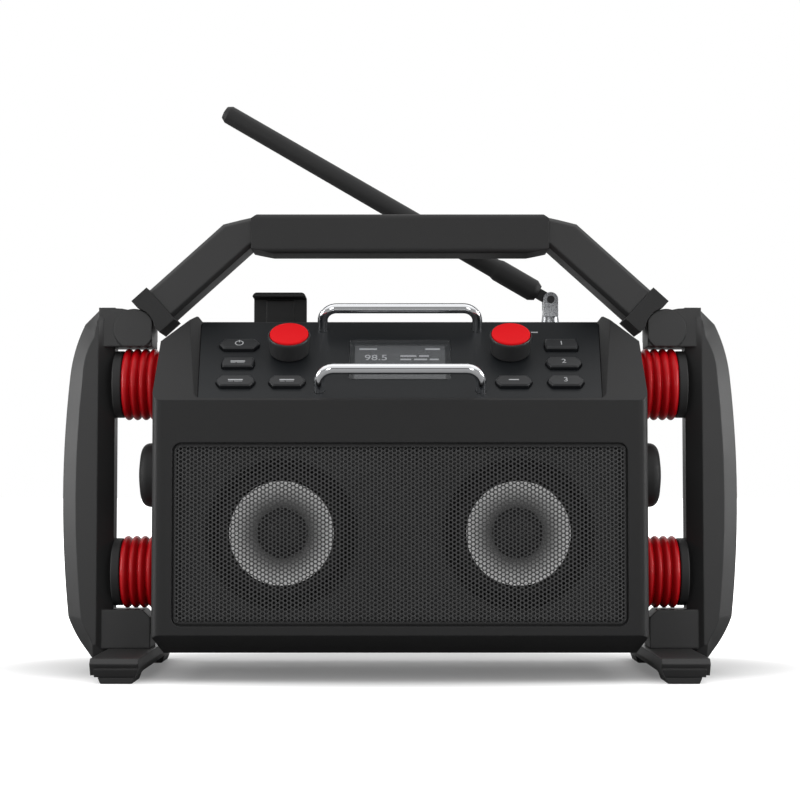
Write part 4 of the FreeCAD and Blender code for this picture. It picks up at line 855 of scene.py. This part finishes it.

# Speakers behind the grille: frame ring, rolled surround, cone and dark dust cap. The cone carries painted
# light: painted shade darker towards its middle, paler at its rim, and a faint painted glow

speaker = {"x": 0.0713, "z": 0.089, "front": -0.0760, "steps": 72}
frameRing = {"inner": 0.0408, "outer": 0.0448, "front": -0.0012, "back": -0.0002}
surround = {"outer": 0.0405, "front": -0.0008, "roll": 0.0352, "rollRadius": 0.0030, "rollFoot": -0.0004,
            "rollRise": 0.0015, "rollSteps": 12, "lap": 0.0004, "lapDepth": 0.0002, "back": 0.0004}
cone = {"radius": 0.0318, "depth": 0.0120, "bow": 0.82, "front": 0.0004, "wall": 0.0007, "steps": 12,
        "underCap": 0.002}
dustCap = {"radius": 0.0150, "rise": 0.0052, "seat": 0.84, "wall": 0.0006, "steps": 10}
# shade, darkShare and glow are painted light on the cone: a painted shade by radius and a painted glow
coneLook = {"base": (0.6, 0.6, 0.61), "roughness": 0.6, "shade": (0.10, 0.92), "glow": 0.20,
            "darkShare": 0.98, "fibreScale": 900.0, "fibreGain": 0.25, "fibreBase": 0.85,
            "fibreStrength": 0.4, "fibreDepth": 0.0002}


# Cone colour: painted shade by radius, real felt fibres, and a faint painted glow though the cone is no lamp
def makeConePaintedLight():
    c = coneLook
    material, nodes, links, shader = startMaterial("pressedConeFinish", c["base"], c["roughness"])
    coords = nodes.new("ShaderNodeTexCoord")
    split = nodes.new("ShaderNodeSeparateXYZ")
    links.new(coords.outputs["Object"], split.inputs["Vector"])
    across = mathNode(nodes, links, "ABSOLUTE", split.outputs["X"])
    across = mathNode(nodes, links, "SUBTRACT", across, speaker["x"])
    upward = mathNode(nodes, links, "SUBTRACT", split.outputs["Z"], speaker["z"])
    square = mathNode(nodes, links, "MULTIPLY", across, across)
    radius = mathNode(nodes, links, "SQRT", mathNode(nodes, links, "MULTIPLY_ADD", upward, upward, square))
    reach = (dustCap["radius"] * c["darkShare"], cone["radius"])
    # painted shade: the cone is painted darker towards the dust cap and paler towards its rim
    shade = spreadRange(nodes, links, radius, reach, c["shade"], "SMOOTHSTEP")  # paler outwards
    fibres = objectNoise(nodes, links, c["fibreScale"], detail=4.0)
    felt = mathNode(nodes, links, "MULTIPLY_ADD", fibres, c["fibreGain"], c["fibreBase"])
    grey = mathNode(nodes, links, "MULTIPLY", shade, felt)
    paint = nodes.new("ShaderNodeCombineColor")
    for channel in ("Red", "Green", "Blue"):
        links.new(grey, paint.inputs[channel])
    links.new(paint.outputs["Color"], shader.inputs["Base Color"])
    # painted light: the cone glows faintly in its own painted colour
    links.new(paint.outputs["Color"], shader.inputs["Emission Color"])
    shader.inputs["Emission Strength"].default_value = c["glow"]
    addBump(nodes, links, shader, fibres, c["fibreStrength"], c["fibreDepth"])
    return material


def surroundOutline():
    s = surround
    points = [(s["outer"], 0.0), (s["outer"], s["front"]), (s["roll"] + s["rollRadius"], s["front"])]
    for i in range(1, s["rollSteps"]):
        angle = math.pi * i / s["rollSteps"]
        points.append((s["roll"] + s["rollRadius"] * math.cos(angle),
                       s["rollFoot"] - s["rollRise"] * math.sin(angle)))
    points += [(s["roll"] - s["rollRadius"], s["rollFoot"]), (cone["radius"] - s["lap"], s["lapDepth"]),
               (s["roll"], s["back"])]
    return points


def frameRingOutline():
    f = frameRing
    return [(f["outer"], f["back"]), (f["outer"], f["front"]), (f["inner"], f["front"]),
            (f["inner"], f["back"])]


def coneOutline():
    c = cone
    throat = dustCap["radius"] - c["underCap"]
    front = []
    for i in range(c["steps"] + 1):
        share = i / c["steps"]
        radius = c["radius"] + (throat - c["radius"]) * share
        front.append((radius, c["front"] + c["depth"] * share ** c["bow"]))
    return front + [(radius, height + c["wall"]) for radius, height in reversed(front)]


def dustCapOutline():
    d = dustCap
    points = []
    for i in range(d["steps"] + 1):
        angle = math.pi / 2 * (1 - i / d["steps"])
        height = cone["depth"] * d["seat"] - d["rise"] * math.cos(angle)
        points.append((d["radius"] * math.sin(angle), height))
    return points


def makeSpeaker(side):
    name = "right" if side > 0 else "left"
    place = Vector((side * speaker["x"], speaker["front"], speaker["z"]))
    steps = speaker["steps"]
    inwards = (0, 1, 0)
    bm = spunShape(surroundOutline(), steps, place, inwards, closed=True)
    newPiece("surround_" + name, bm, finish["shade"], "root")
    bm = spunShape(frameRingOutline(), steps, place, inwards, closed=True)
    newPiece("frame_ring_" + name, bm, finish["shade"], "root")
    bm = spunShape(coneOutline(), steps, place, inwards, closed=True)
    newPiece("cone_" + name, bm, finish["pressedCone"], "root", ("speaker_cone_" + name,))
    bm = spunShape(dustCapOutline(), steps, place, inwards)
    piece = newPiece("dust_cap_" + name, bm, finish["dustCap"], "root")
    addThickness(piece, dustCap["wall"], 0.0)


finish["pressedCone"] = makeConePaintedLight()
for side in (-1, 1):
    makeSpeaker(side)
print("stage: speakers seated")
